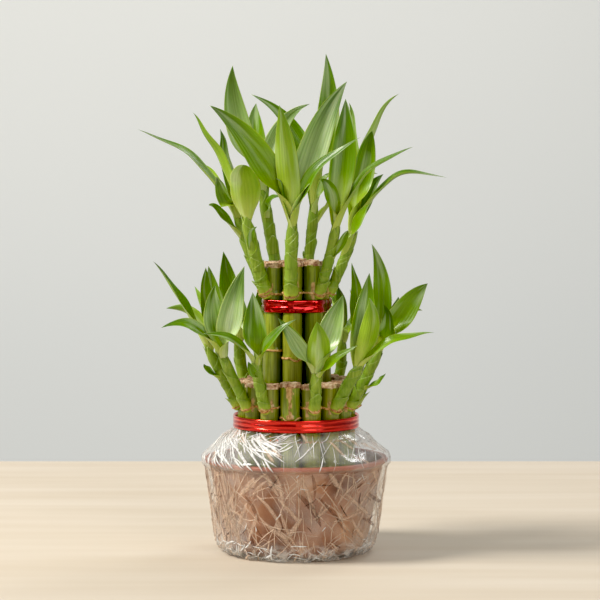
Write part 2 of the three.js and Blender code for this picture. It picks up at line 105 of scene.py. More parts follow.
UPPER_SHOOTS = [
    Shoot(top=(-1.5, -22, 168), thick=3.1, papery=[(0.02, 3, 20)], leaves=[
        Leaf(0.9, (-19, -24, 199), (-42, -27, 222), 13.5),
        Leaf(0.88, (-4.5, -28, 197), (-8, -32, 222), 11, BACK),
        Leaf(0.88, (10, -21, 205), (25, -19, 234), 14, waxy=1.0),
        Leaf(0.8, (8, -27, 187), (31.5, -33, 206), 8.5, UP_FRONT),
        Leaf(0.75, (-5, -24, 178), (-10, -23, 187), 5.5, FRONT_RIGHT),
    ]),
    Shoot(top=(21, -18, 169), papery=[(0.03, 4.5, 40)], leaves=[
        Leaf(0.9, (17, -19, 180), (11.5, -18, 186), 7),
        Leaf(0.88, (23.5, -12, 200), (24.5, -9, 226), 12.5),
        Leaf(0.72, (33, -21, 186), (57.5, -26, 201.5), 9, UP),
        Leaf(0.45, (23, -19, 156), (25.5, -20, 161), 4),
    ]),
    Shoot(top=(30, 2, 163), leaves=[
        Leaf(0.55, (32, -4, 166), (37.5, -8, 174), 7, UP_FRONT),
        Leaf(0.85, (47, -3, 185), (75, -8, 187), 8, UP),
        Leaf(0.88, (34, 0, 193), (38, -1, 210.5), 11),
        Leaf(0.88, (30, 8, 198), (26.5, 10, 225), 9, FRONT_LEFT),
        Leaf(0.83, (36, 12, 203), (52, 14, 229.5), 7.5, (-0.8, 0.6, 0.2), waxy=1.0),
        Leaf(0.7, (36, 6, 177), (44, 7, 189), 8, UP_FRONT),
    ]),
    Shoot(side=190, top=(10, 19, 180), leaves=[
        Leaf(0.9, (16, 14, 215), (15, 10, 249.5), 12.2),
        Leaf(0.86, (2, 24, 206), (-23, 24, 230), 9),
        Leaf(0.8, (14, 13, 184), (21.5, 8, 190.5), 5, UP_FRONT),
        Leaf(0.85, (11, 34, 198), (14, 47, 212), 9, BACK_UP),
        Leaf(0.75, (25, 28, 182), (42, 36, 190), 8, BACK_UP),
    ]),
    Shoot(side=-135, top=(-18, 18, 188), thick=3, leaves=[
        Leaf(0.9, (-30, 20, 216), (-32, 16, 244), 12.5, waxy=1.0),
        Leaf(0.84, (-20.5, 27, 206), (-20.5, 30, 225.5), 10.5),
        Leaf(0.88, (-10, 12, 208), (7, 4, 224), 9, waxy=1.0),
        Leaf(0.7, (-13, 12, 175), (-7, 8, 177), 5.5, UP_FRONT),
        Leaf(0.85, (-22, 34, 196), (-30, 46, 206), 9, BACK_UP),
    ]),
    Shoot(top=(-31, 8, 172), papery=[(0.04, 5, -60)], leaves=[
        Leaf(0.7, (-38, 4, 169), (-43.5, 0, 173.5), 6.5, UP_FRONT),
        Leaf(0.9, (-36, 1, 180), (-39.5, -2, 188), 8.5, FRONT_LEFT),
        Leaf(0.9, (-52, 8, 196), (-80, 10, 211), 8, UP),
        Leaf(0.88, (-36, 12, 194), (-38, 14, 212), 8, FRONT_RIGHT),
        Leaf(0.9, (-40, 22, 184), (-50, 34, 196), 9, BACK_UP),
    ]),
    Shoot(top=(-25.5, -15, 172), thick=3.1, papery=[(0.03, 4.5, -50), (0.1, 4, 120)], leaves=[
        Leaf(0.88, (-25.5, -25, 184), (-25, -36, 193), 15, (0, -0.3, 1)),
        Leaf(0.9, (-39.5, -14, 199), (-51, -16, 218.5), 9.5, (0.9, 0.5, 0.3)),
        Leaf(0.5, (-22, -16, 157), (-19, -18, 163), 4.5),
    ]),
]

LOWER_SHOOTS = [
    None,
    Shoot(top=(9.5, -32, 93), leaves=[
        Leaf(0.9, (0, -34, 107), (-8.5, -34, 119), 8),
        Leaf(0.88, (11, -38, 106), (10, -43, 118), 11, BACK),
        Leaf(0.9, (17, -30, 113), (23, -28, 130), 12, waxy=1.0),
        Leaf(0.8, (18, -37, 98), (30, -40, 106.5), 6, UP_FRONT),
    ]),
    Shoot(top=(32, -28, 97), thick=2.9, papery=[(0.03, 4, 60)], leaves=[
        Leaf(0.88, (36, -33, 114), (35.5, -36, 129), 9.5, BACK),
        Leaf(0.8, (46, -33, 107), (67, -36, 111.5), 7, UP_FRONT),
        Leaf(0.88, (33.5, -24, 119), (36, -22, 140.5), 11),
    ]),
    Shoot(top=(42, -16, 103), leaves=[
        Leaf(0.9, (46, -19, 113), (43, -22, 125), 10, FRONT_LEFT),
        Leaf(0.88, (54, -15, 122), (65, -15, 135), 12),
        Leaf(0.4, (40, -18, 86), (44, -20, 91), 4, UP_FRONT),
        Leaf(0.9, (48, -8, 117), (51, -6, 128), 7),
    ]),
    Shoot(top=(41, 2, 104), leaves=[
        Leaf(0.88, (43, 0, 130), (37.5, -4, 154.5), 9.5),
        Leaf(0.9, (52, 6, 116), (64, 10, 120), 9, BACK_UP),
        Leaf(0.78, (46, -4, 112), (54, -7, 118), 7, UP_FRONT),
    ]),
    Shoot(top=(33, 17, 104), leaves=[
        Leaf(0.88, (32, 13, 125), (28, 9, 144.5), 9, FRONT_LEFT),
        Leaf(0.86, (42, 24, 117), (50, 34, 124), 10, BACK_UP),
        Leaf(0.85, (30, 26, 116), (28, 36, 130), 9, BACK_UP),
    ]),
    Shoot(top=(24, 28, 106), leaves=[
        Leaf(0.88, (24, 24, 119), (21, 19, 133), 9, FRONT_LEFT),
        Leaf(0.9, (31, 40, 114), (40, 55, 116), 9, BACK_UP),
        Leaf(0.8, (20, 41, 117), (18, 53, 130), 9, BACK_UP),
    ]),
    Shoot(top=(10, 36, 104), leaves=[
        Leaf(0.88, (8, 35, 122), (8, 30, 140), 11),
        Leaf(0.9, (13, 50, 112), (18, 65, 112), 9, BACK_UP),
        Leaf(0.85, (6, 48, 118), (6, 60, 130), 10, BACK_UP),
    ]),
    Shoot(top=(-3, 37, 104), leaves=[
        Leaf(0.88, (-4, 38, 122), (-6, 35, 138), 11),
        Leaf(0.9, (-5, 50, 112), (-8, 66, 113), 9, BACK_UP),
        Leaf(0.85, (-3, 46, 120), (-3, 52, 136), 9, BACK_UP),
    ]),
    Shoot(top=(-17, 31, 104), leaves=[
        Leaf(0.88, (-17, 30, 122), (-15, 26, 137), 10),
        Leaf(0.9, (-22, 45, 112), (-28, 58, 113), 9, BACK_UP),
        Leaf(0.85, (-16, 44, 118), (-17, 54, 132), 9, BACK_UP),
    ]),
    Shoot(top=(-30, 22, 106), thick=2.9, leaves=[
        Leaf(0.88, (-34, 20, 129), (-37, 16, 150), 11),
        Leaf(0.9, (-39, 34, 116), (-48, 44, 120), 9, BACK_UP),
        Leaf(0.85, (-29, 33, 118), (-28, 42, 132), 9, BACK_UP),
    ]),
    Shoot(top=(-40, 7, 104), leaves=[
        Leaf(0.88, (-41, 6, 124), (-44, 3, 143), 10),
        Leaf(0.9, (-52, 10, 117), (-66, 14, 121), 9, BACK_UP),
        Leaf(0.85, (-46, 14, 118), (-52, 20, 132), 9, BACK_UP),
    ]),
    Shoot(top=(-45, -9, 105), leaves=[
        Leaf(0.9, (-58, -11, 127), (-70.5, -14, 146), 9, UP),
        Leaf(0.88, (-45, -12, 126), (-44.5, -15, 143), 9, FRONT_RIGHT),
        Leaf(0.5, (-43, -11, 91), (-45.5, -12, 95), 4, UP_FRONT),
    ]),
    Shoot(top=(-37, -24, 102), leaves=[
        Leaf(0.9, (-50, -27, 114), (-65.5, -30, 114), 7.5, UP_FRONT),
        Leaf(0.88, (-40, -22, 119), (-39.5, -23, 134.5), 10.5),
        Leaf(0.88, (-31, -28, 122), (-25, -26, 144), 12, waxy=1.0),
    ]),
    Shoot(top=(-20, -31, 99), papery=[(0.03, 4, -40)], leaves=[
        Leaf(0.88, (-20, -31, 115), (-21, -31, 131.5), 11.5),
        Leaf(0.9, (-30, -37, 108), (-46, -40, 112), 6.5, UP_FRONT),
        Leaf(0.85, (-12, -35, 108), (0.5, -38, 119), 7, UP_FRONT),
        Leaf(0.6, (-21.5, -34, 94), (-23, -36, 98), 4),
    ]),
]


# Curves and small sums


def smooth(low, high, value):
    share = min(max((value - low) / (high - low), 0), 1)
    return share * share * (3 - 2 * share)


def bump(value, width):
    return math.exp(-((value / width) ** 2))


def outwards(degrees):
    """The direction from the axis at an angle: 0 looks to the front, and 90 to the right."""
    turn = math.radians(degrees)
    return Vector((math.sin(turn), -math.cos(turn), 0))


class Bend:
    """A smooth bend from a start to an end, pulled towards a third place."""

    def __init__(self, start, pull, end):
        self.start, self.pull, self.end = start, pull, end

    def point(self, place):
        rest = 1 - place
        return self.start * rest * rest + self.pull * (2 * rest * place) + self.end * place * place

    def along(self, place):
        rise = (self.pull - self.start) * (1 - place) + (self.end - self.pull) * place
        return rise.normalized()

    def length(self):
        steps = 16
        points = [self.point(step / steps) for step in range(steps + 1)]
        return sum((b - a).length for a, b in zip(points, points[1:]))


def bend_through(start, middle, end):
    return Bend(start, middle * 2 - (start + end) / 2, end)


def crossways(along, face):
    """Two directions square to a curve: sideways, and out of the face."""
    across = along.cross(face).normalized()
    return across, across.cross(along).normalized()


def paced(outline, step):
    """The outline with points added so that no stretch is longer than the step."""
    points = [outline[0]]
    for (r0, z0), (r1, z1) in zip(outline, outline[1:]):
        parts = max(1, math.ceil(math.hypot(r1 - r0, z1 - z0) / step))
        for part in range(1, parts + 1):
            share = part / parts
            points.append((r0 + (r1 - r0) * share, z0 + (z1 - z0) * share))
    return points


def rounded(outline, times):
    """The outline with its corners cut, again and again, and its ends kept."""
    for _ in range(times):
        cut = [outline[0]]
        for (r0, z0), (r1, z1) in zip(outline, outline[1:]):
            cut.append((0.75 * r0 + 0.25 * r1, 0.75 * z0 + 0.25 * z1))
            cut.append((0.25 * r0 + 0.75 * r1, 0.25 * z0 + 0.75 * z1))
        outline = cut + [outline[-1]]
    return outline


# Shapes


def drawing(marks):
    """An empty shape whose points can carry the named marks, which the finishes read."""
    shape = bmesh.new()
    shape.loops.layers.uv.new("flat")
    for name in marks:
        shape.verts.layers.float.new(name)
    return shape


def roll(shape, around, along, place, surface=None, flat=None):
    """Rolls a grid up into a closed skin.

    place(turn, part) gives each point and its marks: turn goes once round, and part from end to end.
    surface(turn, part) picks a face's finish, and flat(turn, part) gives its place on the flat sheet.
    """
    seam = 1e-4
    sheet = shape.loops.layers.uv["flat"]
    points = bmesh.ops.create_grid(shape, x_segments=around, y_segments=along, size=0.5)["verts"]
    for face in {face for point in points for face in point.link_faces}:
        face.smooth = True
        if surface:
            middle = face.calc_center_median()
            face.material_index = surface(middle.x + 0.5, middle.y + 0.5)
        if flat:
            for corner in face.loops:
                corner[sheet].uv = flat(corner.vert.co.x + 0.5, corner.vert.co.y + 0.5)
    for point in points:
        point.co, marks = place(point.co.x + 0.5, point.co.y + 0.5)
        for name, value in marks.items():
            point[shape.verts.layers.float[name]] = value
    bmesh.ops.remove_doubles(shape, verts=points, dist=seam)


def hand_over(shape, name, surfaces):
    """Makes the shape a finished piece in metres, which stands for the solid of the same name."""
    bmesh.ops.recalc_face_normals(shape, faces=shape.faces)
    bmesh.ops.scale(shape, vec=(MM, MM, MM), verts=shape.verts)
    mesh = bpy.data.meshes.new(name + "_finished")
    shape.to_mesh(mesh)
    shape.free()
    for surface in surfaces:
        mesh.materials.append(surface)
    piece = bpy.data.objects.new(name + "_finished", mesh)
    bpy.context.scene.collection.objects.link(piece)
    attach(piece, "root")
    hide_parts(name)


# Nodes of the finishes


def linear(code):
    """A colour written as an sRGB hex value, in the linear form that shaders take."""
    shares = [int(code[i : i + 2], 16) / 255 for i in (1, 3, 5)]
    return [s / 12.92 if s <= 0.04045 else ((s + 0.055) / 1.055) ** 2.4 for s in shares] + [1]


def add(tree, kind, settings=None, **links):
    """Adds a node. Links go to its inputs by name: a number, a colour, a node or one of its outputs."""
    node = tree.nodes.new("ShaderNode" + kind)
    for name, value in (settings or {}).items():
        if name == "stops":
            ramp = node.color_ramp.elements
            while len(ramp) < len(value):
                ramp.new(0)
            for stop, (position, colour) in zip(list(ramp), value):
                stop.position = position
                stop.color = linear(colour)
        else:
            setattr(node, name, value)
    for name, value in links.items():
        number = name.removeprefix("in_")
        socket = node.inputs[int(number) if number.isdigit() else name.replace("_", " ")]
        if isinstance(value, bpy.types.Node):
            value = value.outputs[0]
        if isinstance(value, bpy.types.NodeSocket):
            tree.links.new(value, socket)
        elif isinstance(value, str):
            socket.default_value = linear(value)
        else:
            socket.default_value = value
    return node


def finish(name, draw, *details):
    """A finish. draw adds its nodes to an empty tree, with the details given, and gives the last one."""
    surface = bpy.data.materials.new(name)
    surface.use_nodes = True
    tree = surface.node_tree
    tree.nodes.clear()
    add(tree, "OutputMaterial", Surface=draw(tree, *details))
    return surface


def mark(tree, name):
    """A mark that the piece's points carry."""
    return add(tree, "Attribute", {"attribute_name": name}).outputs["Fac"]


def stretched(tree, size):
    """Places on the object, in units of so many millimetres a side."""
    place = add(tree, "TexCoord").outputs["Object"]
    return add(tree, "Mapping", Vector=place, Scale=[1 / (side * MM) for side in size])


def on_sheet(tree, size):
    """Places on the flat sheet, in units of so many millimetres round it and up it."""
    flat = add(tree, "UVMap", {"uv_map": "flat"})
    return add(tree, "Mapping", Vector=flat, Scale=(1 / size[0], 1 / size[1], 1))


def grained(tree, size, detail, stops):
    """Noise with grains of so many millimetres a side, and the colours that it is turned into."""
    grain = add(tree, "TexNoise", Vector=stretched(tree, size), Scale=1, Detail=detail)
    return grain, add(tree, "ValToRGB", {"stops": stops}, Fac=grain)


def layered(tree, colour, layers):
    """Lays other colours over a colour, one after another.

    A layer is a value, two values of it, the layer's shares at those two, and its colour.
    """
    for value, (start, end), (least, most), over in layers:
        share = add(tree, "MapRange", Value=value, From_Min=start, From_Max=end, To_Min=least, To_Max=most)
        colour = add(tree, "MixRGB", Fac=share, Color1=colour, Color2=over)
    return colour


def skin(tree, colour, relief, depth, strength, **looks):
    """A skin of a colour, with a relief so many millimetres deep. Its other looks go by their names."""
    normal = add(tree, "Bump", Height=relief, Distance=depth * MM, Strength=strength)
    return add(tree, "BsdfPrincipled", Base_Color=colour, Normal=normal, **looks)


# Finishes

TIMES = {"operation": "MULTIPLY"}
TIMES_PLUS = {"operation": "MULTIPLY_ADD"}

# Streaks and veins from one margin of a blade to the other. Real veins lie about 0.7 mm apart, and
# these lie about 1.2 mm apart, so that they show
LEAF_STREAKS = 8
LEAF_VEINS = 9
# The colour of the painted sheen: pale silvery green laid over the leaves as a highlight
PAINTED_LEAF_SHEEN = "#D2E4B6"


def leaf_painted_sheen(tree, streaks, across, along, seed):
    """How much painted sheen shows: it lies in long bands, and over the lower half of the leaves marked for
    a strong one.
    """
    place = add(tree, "CombineXYZ", X=add(tree, "Math", TIMES, in_0=across, in_1=0.8), Y=along, Z=seed)
    bands = add(tree, "TexNoise", Vector=place, Scale=1.5, Detail=1)
    painted_sheen_share = add(tree, "MapRange", Value=bands, From_Min=0.5, From_Max=0.66, To_Max=0.72)
    fading = add(tree, "MapRange", Value=along, From_Min=0.4, From_Max=0.85, To_Min=0.7, To_Max=0.1)
    some = add(tree, "Math", TIMES_PLUS, in_0=mark(tree, "waxy"), in_1=fading, in_2=painted_sheen_share)
    return add(tree, "Math", TIMES, in_0=some, in_1=streaks)


def leaf_finish(tree, dark, middle, light, margin, roughness):
    """Fresh leaf skin: satin green with lengthwise veins, a painted silvery sheen in long bands and a thin
    pale margin.
    """
    across, along, tint = mark(tree, "across"), mark(tree, "along"), mark(tree, "tint")
    seed = add(tree, "Math", TIMES, in_0=tint, in_1=60)
    lanes = add(tree, "Math", TIMES, in_0=across, in_1=LEAF_STREAKS)
    lengthwise = add(tree, "Math", TIMES_PLUS, in_0=along, in_1=1.6, in_2=seed)
    place = add(tree, "CombineXYZ", X=lanes, Y=lengthwise, Z=seed)
    streaks = add(tree, "TexNoise", Vector=place, Scale=1, Detail=3, Roughness=0.6)
    waves = add(tree, "Math", TIMES, in_0=across, in_1=LEAF_VEINS * math.pi)
    veins = add(tree, "Math", {"operation": "COSINE"}, in_0=waves)
    side = add(tree, "Math", {"operation": "ABSOLUTE"}, in_0=across)
    painted_sheen_share = leaf_painted_sheen(tree, streaks, across, along, seed)
    greens = [(0.22, dark), (0.5, middle), (0.9, light)]
    layers = [
        (veins, (0.55, 1), (0, 0.09), light),
        (tint, (0, 1), (0, 0.55), light),
        (along, (0.2, 0.75), (0.4, 0), light),
        (along, (0, 0.36), (0.8, 0), margin),
        (along, (0.6, 1), (0, 0.6), dark),
        # Painted sheen: pale silvery green in long bands, standing for the leaves' gloss
        (painted_sheen_share, (0, 1), (0, 1), PAINTED_LEAF_SHEEN),
        (side, (0.93, 0.99), (0, 0.4), margin),
    ]
    ripple = add(tree, "TexNoise", Vector=stretched(tree, (5, 5, 9)), Scale=1, Detail=2)
    return skin(
        tree,
        layered(tree, add(tree, "ValToRGB", {"stops": greens}, Fac=streaks), layers),
        add(tree, "Math", TIMES_PLUS, in_0=veins, in_1=0.16, in_2=ripple),
        0.4,
        0.5,
        Roughness=add(tree, "MapRange", Value=streaks, To_Min=roughness - 0.08, To_Max=roughness + 0.1),
        IOR=1.45,
        Specular_IOR_Level=0.22,
        Subsurface_Weight=0.12,
        Subsurface_Radius=(0.5, 1, 0.05),
        Subsurface_Scale=1.2 * MM,
        Coat_Weight=0.3,
        Coat_Roughness=0.2,
    )


def stem_finish(tree):
    """Young stem and leaf sheaths: green skin with fine fibres, brighter feet and paler sheath edges."""
    greens = [(0.2, "#6A861C"), (0.5, "#88A232"), (0.8, "#A8BC50")]
    fibres, body = grained(tree, (0.9, 0.9, 14), 3, greens)
    layers = [
        (mark(tree, "tint"), (0, 1), (0, 0.5), "#6C9428"),
        (mark(tree, "foot"), (0, 1), (0, 1), "#B4CA4A"),
        (mark(tree, "rim"), (0.45, 1), (0, 0.35), "#BCC684"),
    ]
    return skin(
        tree,
        layered(tree, body, layers),
        fibres,
        0.3,
        0.5,
        Roughness=0.42,
        IOR=1.45,
        Specular_IOR_Level=0.35,
        Subsurface_Weight=0.1,
        Subsurface_Radius=(0.6, 1, 0.1),
        Subsurface_Scale=1.2 * MM,
        Coat_Weight=0.12,
        Coat_Roughness=0.25,
    )


def papery_finish(tree):
    """Dead sheath, dried on the plant: thin brown paper with fibres, matte."""
    browns = [(0.3, "#9A7038"), (0.5, "#C8A064"), (0.7, "#E2C892")]
    fibres, colour = grained(tree, (0.7, 0.7, 9), 4, browns)
    return skin(tree, colour, fibres, 0.4, 0.7, Roughness=0.75, IOR=1.45)


def cane_finish(tree):
    """Ripe cane skin: olive green with fibres, a waxy bloom, tan corky strips, and painted shade on the
    sides that face the other canes.
    """
    greens = [(0.28, "#566608"), (0.5, "#7C8E16"), (0.72, "#A8B23A")]
    fibres, body = grained(tree, (0.8, 0.8, 22), 4, greens)
    clouds = add(tree, "TexNoise", Vector=stretched(tree, (7, 7, 16)), Scale=1, Detail=3)
    grain, cork = grained(tree, (1.1, 1.1, 2.2), 4, [(0.35, "#8E6630"), (0.6, "#C8A468")])
    ragged = add(tree, "Math", TIMES_PLUS, in_0=grain, in_1=1.6, in_2=mark(tree, "scar"))
    layers = [
        (mark(tree, "tint"), (0, 1), (0, 0.5), "#948E18"),
        (clouds, (0.5, 0.75), (0, 0.35), "#B4BE7C"),
        # Painted shade: dark olive on the sides of each cane that face into the bunch
        (mark(tree, "sheltered"), (0, 1), (0, 0.7), "#364202"),
        (ragged, (1.3, 1.6), (0, 1), cork),
    ]
    return skin(
        tree,
        layered(tree, body, layers),
        fibres,
        0.3,
        0.45,
        Roughness=add(tree, "MapRange", Value=clouds, To_Min=0.3, To_Max=0.55),
        IOR=1.45,
        Specular_IOR_Level=0.35,
        Subsurface_Weight=0.06,
        Subsurface_Radius=(0.5, 1, 0.1),
        Subsurface_Scale=MM,
        Coat_Weight=0.5,
        Coat_Roughness=0.14,
    )


def cut_finish(tree):
    """Sawn end of a cane, dried: tan and rough, with the open ends of its fibres."""
    pores = add(tree, "TexVoronoi", Vector=stretched(tree, (0.7, 0.7, 2.5)), Scale=1).outputs["Distance"]
    tans = [(0.34, "#8A5E40"), (0.48, "#C8A07C"), (0.62, "#EAD2B2")]
    body = grained(tree, (2.2, 2.2, 2.2), 4, tans)[1]
    colour = layered(tree, body, [(pores, (0, 0.35), (0.5, 0), "#7A5833")])
    return skin(tree, colour, pores, 0.5, 0.8, Roughness=0.8, IOR=1.45)


def scar_finish(tree):
    """Ring scar of a fallen leaf: a thin line of corky tan."""
    tans = [(0.36, "#8E5C2A"), (0.5, "#CC9858"), (0.64, "#E6C48E")]
    clouds, colour = grained(tree, (1.6, 1.6, 1.6), 4, tans)
    return skin(tree, colour, clouds, 0.3, 0.6, Roughness=0.7, IOR=1.45)


# Heights between which the bowl's brown turns to the terracotta of its rim
RIM_LINE = (45.5, 46.2)


def bowl_finish(tree):
    """Moulded polypropylene: taupe brown, satin, with a terracotta rim line and faint flow marks."""
    browns = [(0.34, "#7A4A2E"), (0.52, "#A26C4A"), (0.7, "#C8966E")]
    body = grained(tree, (22, 22, 24), 3, browns)[1]
    height = add(tree, "SeparateXYZ", Vector=stretched(tree, (1, 1, 1))).outputs["Z"]
    colour = layered(tree, body, [(height, RIM_LINE, (0, 0.85), "#A9583F")])
    grain = add(tree, "TexNoise", Vector=stretched(tree, (0.5, 0.5, 0.5)), Scale=1, Detail=2)
    return skin(tree, colour, grain, 0.1, 0.3, Roughness=0.42, IOR=1.49)


def gravel_finish(tree):
    """River gravel, washed and dry: each pebble its own grey or brown, with mineral specks."""
    stones = [(0, "#5B5148"), (0.35, "#857869"), (0.7, "#A39A8C"), (1, "#C9BFAE")]
    body = add(tree, "ValToRGB", {"stops": stones}, Fac=mark(tree, "tint"))
    specks = add(tree, "TexNoise", Vector=stretched(tree, (0.8, 0.8, 0.8)), Scale=1, Detail=4)
    colour = layered(tree, body, [(specks, (0.45, 0.7), (0, 0.6), "#443B33")])
    return skin(tree, colour, specks, 0.4, 0.6, Roughness=0.8, IOR=1.54)


def foil_finish(tree, dark, light, dent):
    """Metallised polyester ribbon, pulled tight by hand: red mirror film broken into long dents. Its red is
    painted lighter on the raised folds and darker in the low ones, as painted highlight and shade.

    dent is the size of one, along the ribbon and across it, in millimetres.
    """
    sheet = on_sheet(tree, dent)
    dents = add(tree, "TexVoronoi", {"feature": "SMOOTH_F1"}, Vector=sheet, Scale=1, Smoothness=0.3)
    folds = add(tree, "TexNoise", Vector=sheet, Scale=0.8, Detail=2)
    relief = add(tree, "Math", TIMES_PLUS, in_0=dents.outputs["Distance"], in_1=0.6, in_2=folds)
    # Painted highlight and shade: the red goes from the dark colour in the low folds to the light one on
    # the raised folds
    red = add(tree, "ValToRGB", {"stops": [(0.35, dark), (0.65, light)]}, Fac=folds)
    shine = {"Metallic": 1, "Roughness": 0.2, "Coat_Weight": 0.6, "Coat_Roughness": 0.12}
    return skin(tree, red, relief, 0.6, 0.6, **shine)


# Sizes on the flat film, round it and up it: facets between creases, milky patches that are partly painted
# reflection, and ripples, which are much longer than wide because the film is pulled upwards
FILM_FACET = (11, 15)
FILM_PATCH = (34, 20)
FILM_RIPPLE = (3, 16)


def film_haze(tree):
    """How cloudy the film is: each facet a little, some patches more, and crumpled film most. The cloudier
    patches are partly real haze and partly painted reflection.
    """
    facets = add(tree, "TexVoronoi", Vector=on_sheet(tree, FILM_FACET), Scale=1).outputs["Color"]
    grey = add(tree, "SeparateColor", Color=facets)
    haze = add(tree, "MapRange", Value=grey, From_Min=0.1, From_Max=1, To_Max=0.05)
    # Partly painted reflection: cloudier patches, standing for the light that the film reflects
    cloud = add(tree, "TexNoise", Vector=on_sheet(tree, FILM_PATCH), Scale=1, Detail=2)
    milky = add(tree, "MapRange", Value=cloud, From_Min=0.45, From_Max=0.7, To_Max=0.14)
    both = add(tree, "Math", {"operation": "ADD"}, in_0=haze, in_1=milky)
    return add(tree, "Math", TIMES_PLUS, in_0=mark(tree, "crumple"), in_1=0.4, in_2=both)


def film_finish(tree):
    """Clear wrapping film: nearly unseen face on, with a faint haze and a sharp gleam at a slant."""
    ripple = add(tree, "TexNoise", Vector=on_sheet(tree, FILM_RIPPLE), Scale=1, Detail=2)
    normal = add(tree, "Bump", Height=ripple, Distance=0.5 * MM, Strength=0.4)
    body = add(tree, "BsdfPrincipled", Base_Color="#F4F1EC", Roughness=0.3, Normal=normal, IOR=1.5)
    clear = add(tree, "BsdfTransparent")
    hazy = add(tree, "MixShader", in_0=film_haze(tree), in_1=clear, in_2=body)
    gleam = add(tree, "BsdfAnisotropic", Roughness=0.2, Normal=normal, Color="#FFFFFF")
    mirror = add(tree, "MapRange", Value=add(tree, "Fresnel", IOR=1.45), To_Max=0.45)
    least = add(tree, "Math", {"operation": "MINIMUM"}, in_0=mirror, in_1=0.12)
    return add(tree, "MixShader", in_0=least, in_1=hazy, in_2=gleam)


def fold_finish(tree, colour, cover, roughness):
    """A fold in the film, where two or three layers lie together and cloud it, here more, there less. In
    white it is a painted highlight, and in dark brown painted shade.
    """
    clouds = add(tree, "TexNoise", Vector=stretched(tree, (2, 2, 4)), Scale=1, Detail=2)
    least = 0.45 * cover
    share = add(tree, "MapRange", Value=clouds, From_Min=0.3, From_Max=0.65, To_Min=least, To_Max=cover)
    milky = add(tree, "BsdfPrincipled", Base_Color=colour, Roughness=roughness, IOR=1.5)
    return add(tree, "MixShader", in_0=share, in_1=add(tree, "BsdfTransparent"), in_2=milky)


# The finishes of the pieces that have several, and the number of each in its list
RING_SCAR = finish("corky_ring_scar", scar_finish)
SHOOT_SURFACES = [
    finish("leaf_upper_skin", leaf_finish, "#264800", "#4C7600", "#88AC10", "#C4D04C", 0.32),
    finish("leaf_under_skin", leaf_finish, "#507A08", "#729A14", "#A2BC34", "#CAD670", 0.42),
    finish("young_stem_skin", stem_finish),
    finish("dry_papery_sheath", papery_finish),
    RING_SCAR,
]
UPPER_FACE, UNDER_FACE, STEM_SKIN, PAPERY, SHOOT_SCAR = range(len(SHOOT_SURFACES))
CANE_SURFACES = [finish("ripe_cane_skin", cane_finish), finish("sawn_cane_end", cut_finish), RING_SCAR]
CANE_SKIN, CUT_END, CANE_SCAR = range(len(CANE_SURFACES))
# Of the folds, the bunched white ones are painted highlights, and the shaded ones and those in hollows are
# painted shade
FILM_SURFACES = [
    finish("crumpled_clear_film", film_finish),
    finish("folded_clear_film", fold_finish, "#F2D8C0", 0.62, 0.35),
    finish("shaded_fold_of_film", fold_finish, "#5A2C18", 0.6, 0.35),
    finish("bunched_clear_film", fold_finish, "#F8F8F6", 0.88, 0.25),
    finish("flat_fold_of_film", fold_finish, "#F6D8BE", 0.3, 0.3),
    finish("hollow_between_folds", fold_finish, "#6E3218", 0.26, 0.3),
]
LINE, SHADE, GLEAM, FLAT, PAINTED_HOLLOW_SHADE = range(1, len(FILM_SURFACES))
FOIL_DEEP = finish("deep_red_foil", foil_finish, "#A80C14", "#E0201E", (9, 6))
FOIL_BRIGHT = finish("bright_red_foil", foil_finish, "#B80E10", "#FA4030", (22, 1.6))


# Shoots


def cane_angle(tier, index):
    return tier.first + 360 / tier.count * index


def cane_middle(tier, index, height):
    """The middle of a cane at a height."""
    ring = tier.ring - (height - CANE_FOOT) * tier.lean
    middle = outwards(cane_angle(tier, index)) * ring
    middle.z = height
    return middle


# The stem is a little slimmer than its solid, so that its sheaths stay inside that
STEM_SLIMMER = 0.2

# The young green is brighter at the stem's foot, between these shares of its length
BRIGHT_FOOT = (0.03, 0.3)


class Stem:
    """A shoot's stem: it leaves its cane at a node and turns upwards, close along the cane."""

    def __init__(self, tier, index, plan):
        node = tier.nodes[-1]
        side = cane_angle(tier, index) if plan.side is None else plan.side
        way = outwards(side)
        middle = cane_middle(tier, index, node)
        foot = middle + way * (CANE - 1)
        foot.z = node - NODE_HALF_HEIGHT
        pull = middle + way * (CANE + STEM + STEM_SWING)
        pull.z = node + STEM_RISE
        self.way = way
        self.bend = Bend(foot, pull, Vector(plan.top))
        self.radius = plan.thick - STEM_SLIMMER

    def thickness(self, place):
        """Half its width: it swells over its foot and narrows under its leaves."""
        swell = 0.12 * (1 - place) + 0.16 * bump(place - 0.1, 0.08)
        taper = 0.5 * smooth(0.8, 1, place)
        return self.radius * (1 + swell - taper)

    def directions(self, place):
        return crossways(self.bend.along(place), Vector((0, -1, 0)))

    def bearing(self, way, place):
        across, upper = self.directions(place)
        return math.atan2(way.dot(upper), way.dot(across))

    def skin(self, place, bearing, proud=0.0):
        """A point on the stem, or so far proud of it."""
        across, upper = self.directions(place)
        out = across * math.cos(bearing) + upper * math.sin(bearing)
        return self.bend.point(place) + out * (self.thickness(place) + proud)


def draw_stem(shape, stem, tint):
    """The bare stem, closed by a dome at either end."""
    around, along = 24, 30
    cap = 2 / along
    flatness = 0.8

    def place(turn, part):
        spot = min(max((part - cap) / (1 - 2 * cap), 0), 1)
        end = min(part, 1 - part) / cap
        closing = math.sqrt(1 - (1 - min(end, 1)) ** 2)
        centre = stem.bend.point(spot)
        dome = stem.bend.along(spot) * (1 - closing) * stem.thickness(spot) * (1 if part > 0.5 else -1)
        point = stem.skin(spot, 2 * math.pi * turn)
        marks = {"tint": tint, "foot": 1 - smooth(*BRIGHT_FOOT, spot)}
        return centre + (point - centre) * closing + dome * flatness, marks

    roll(shape, around, along, place, surface=lambda turn, part: STEM_SKIN)


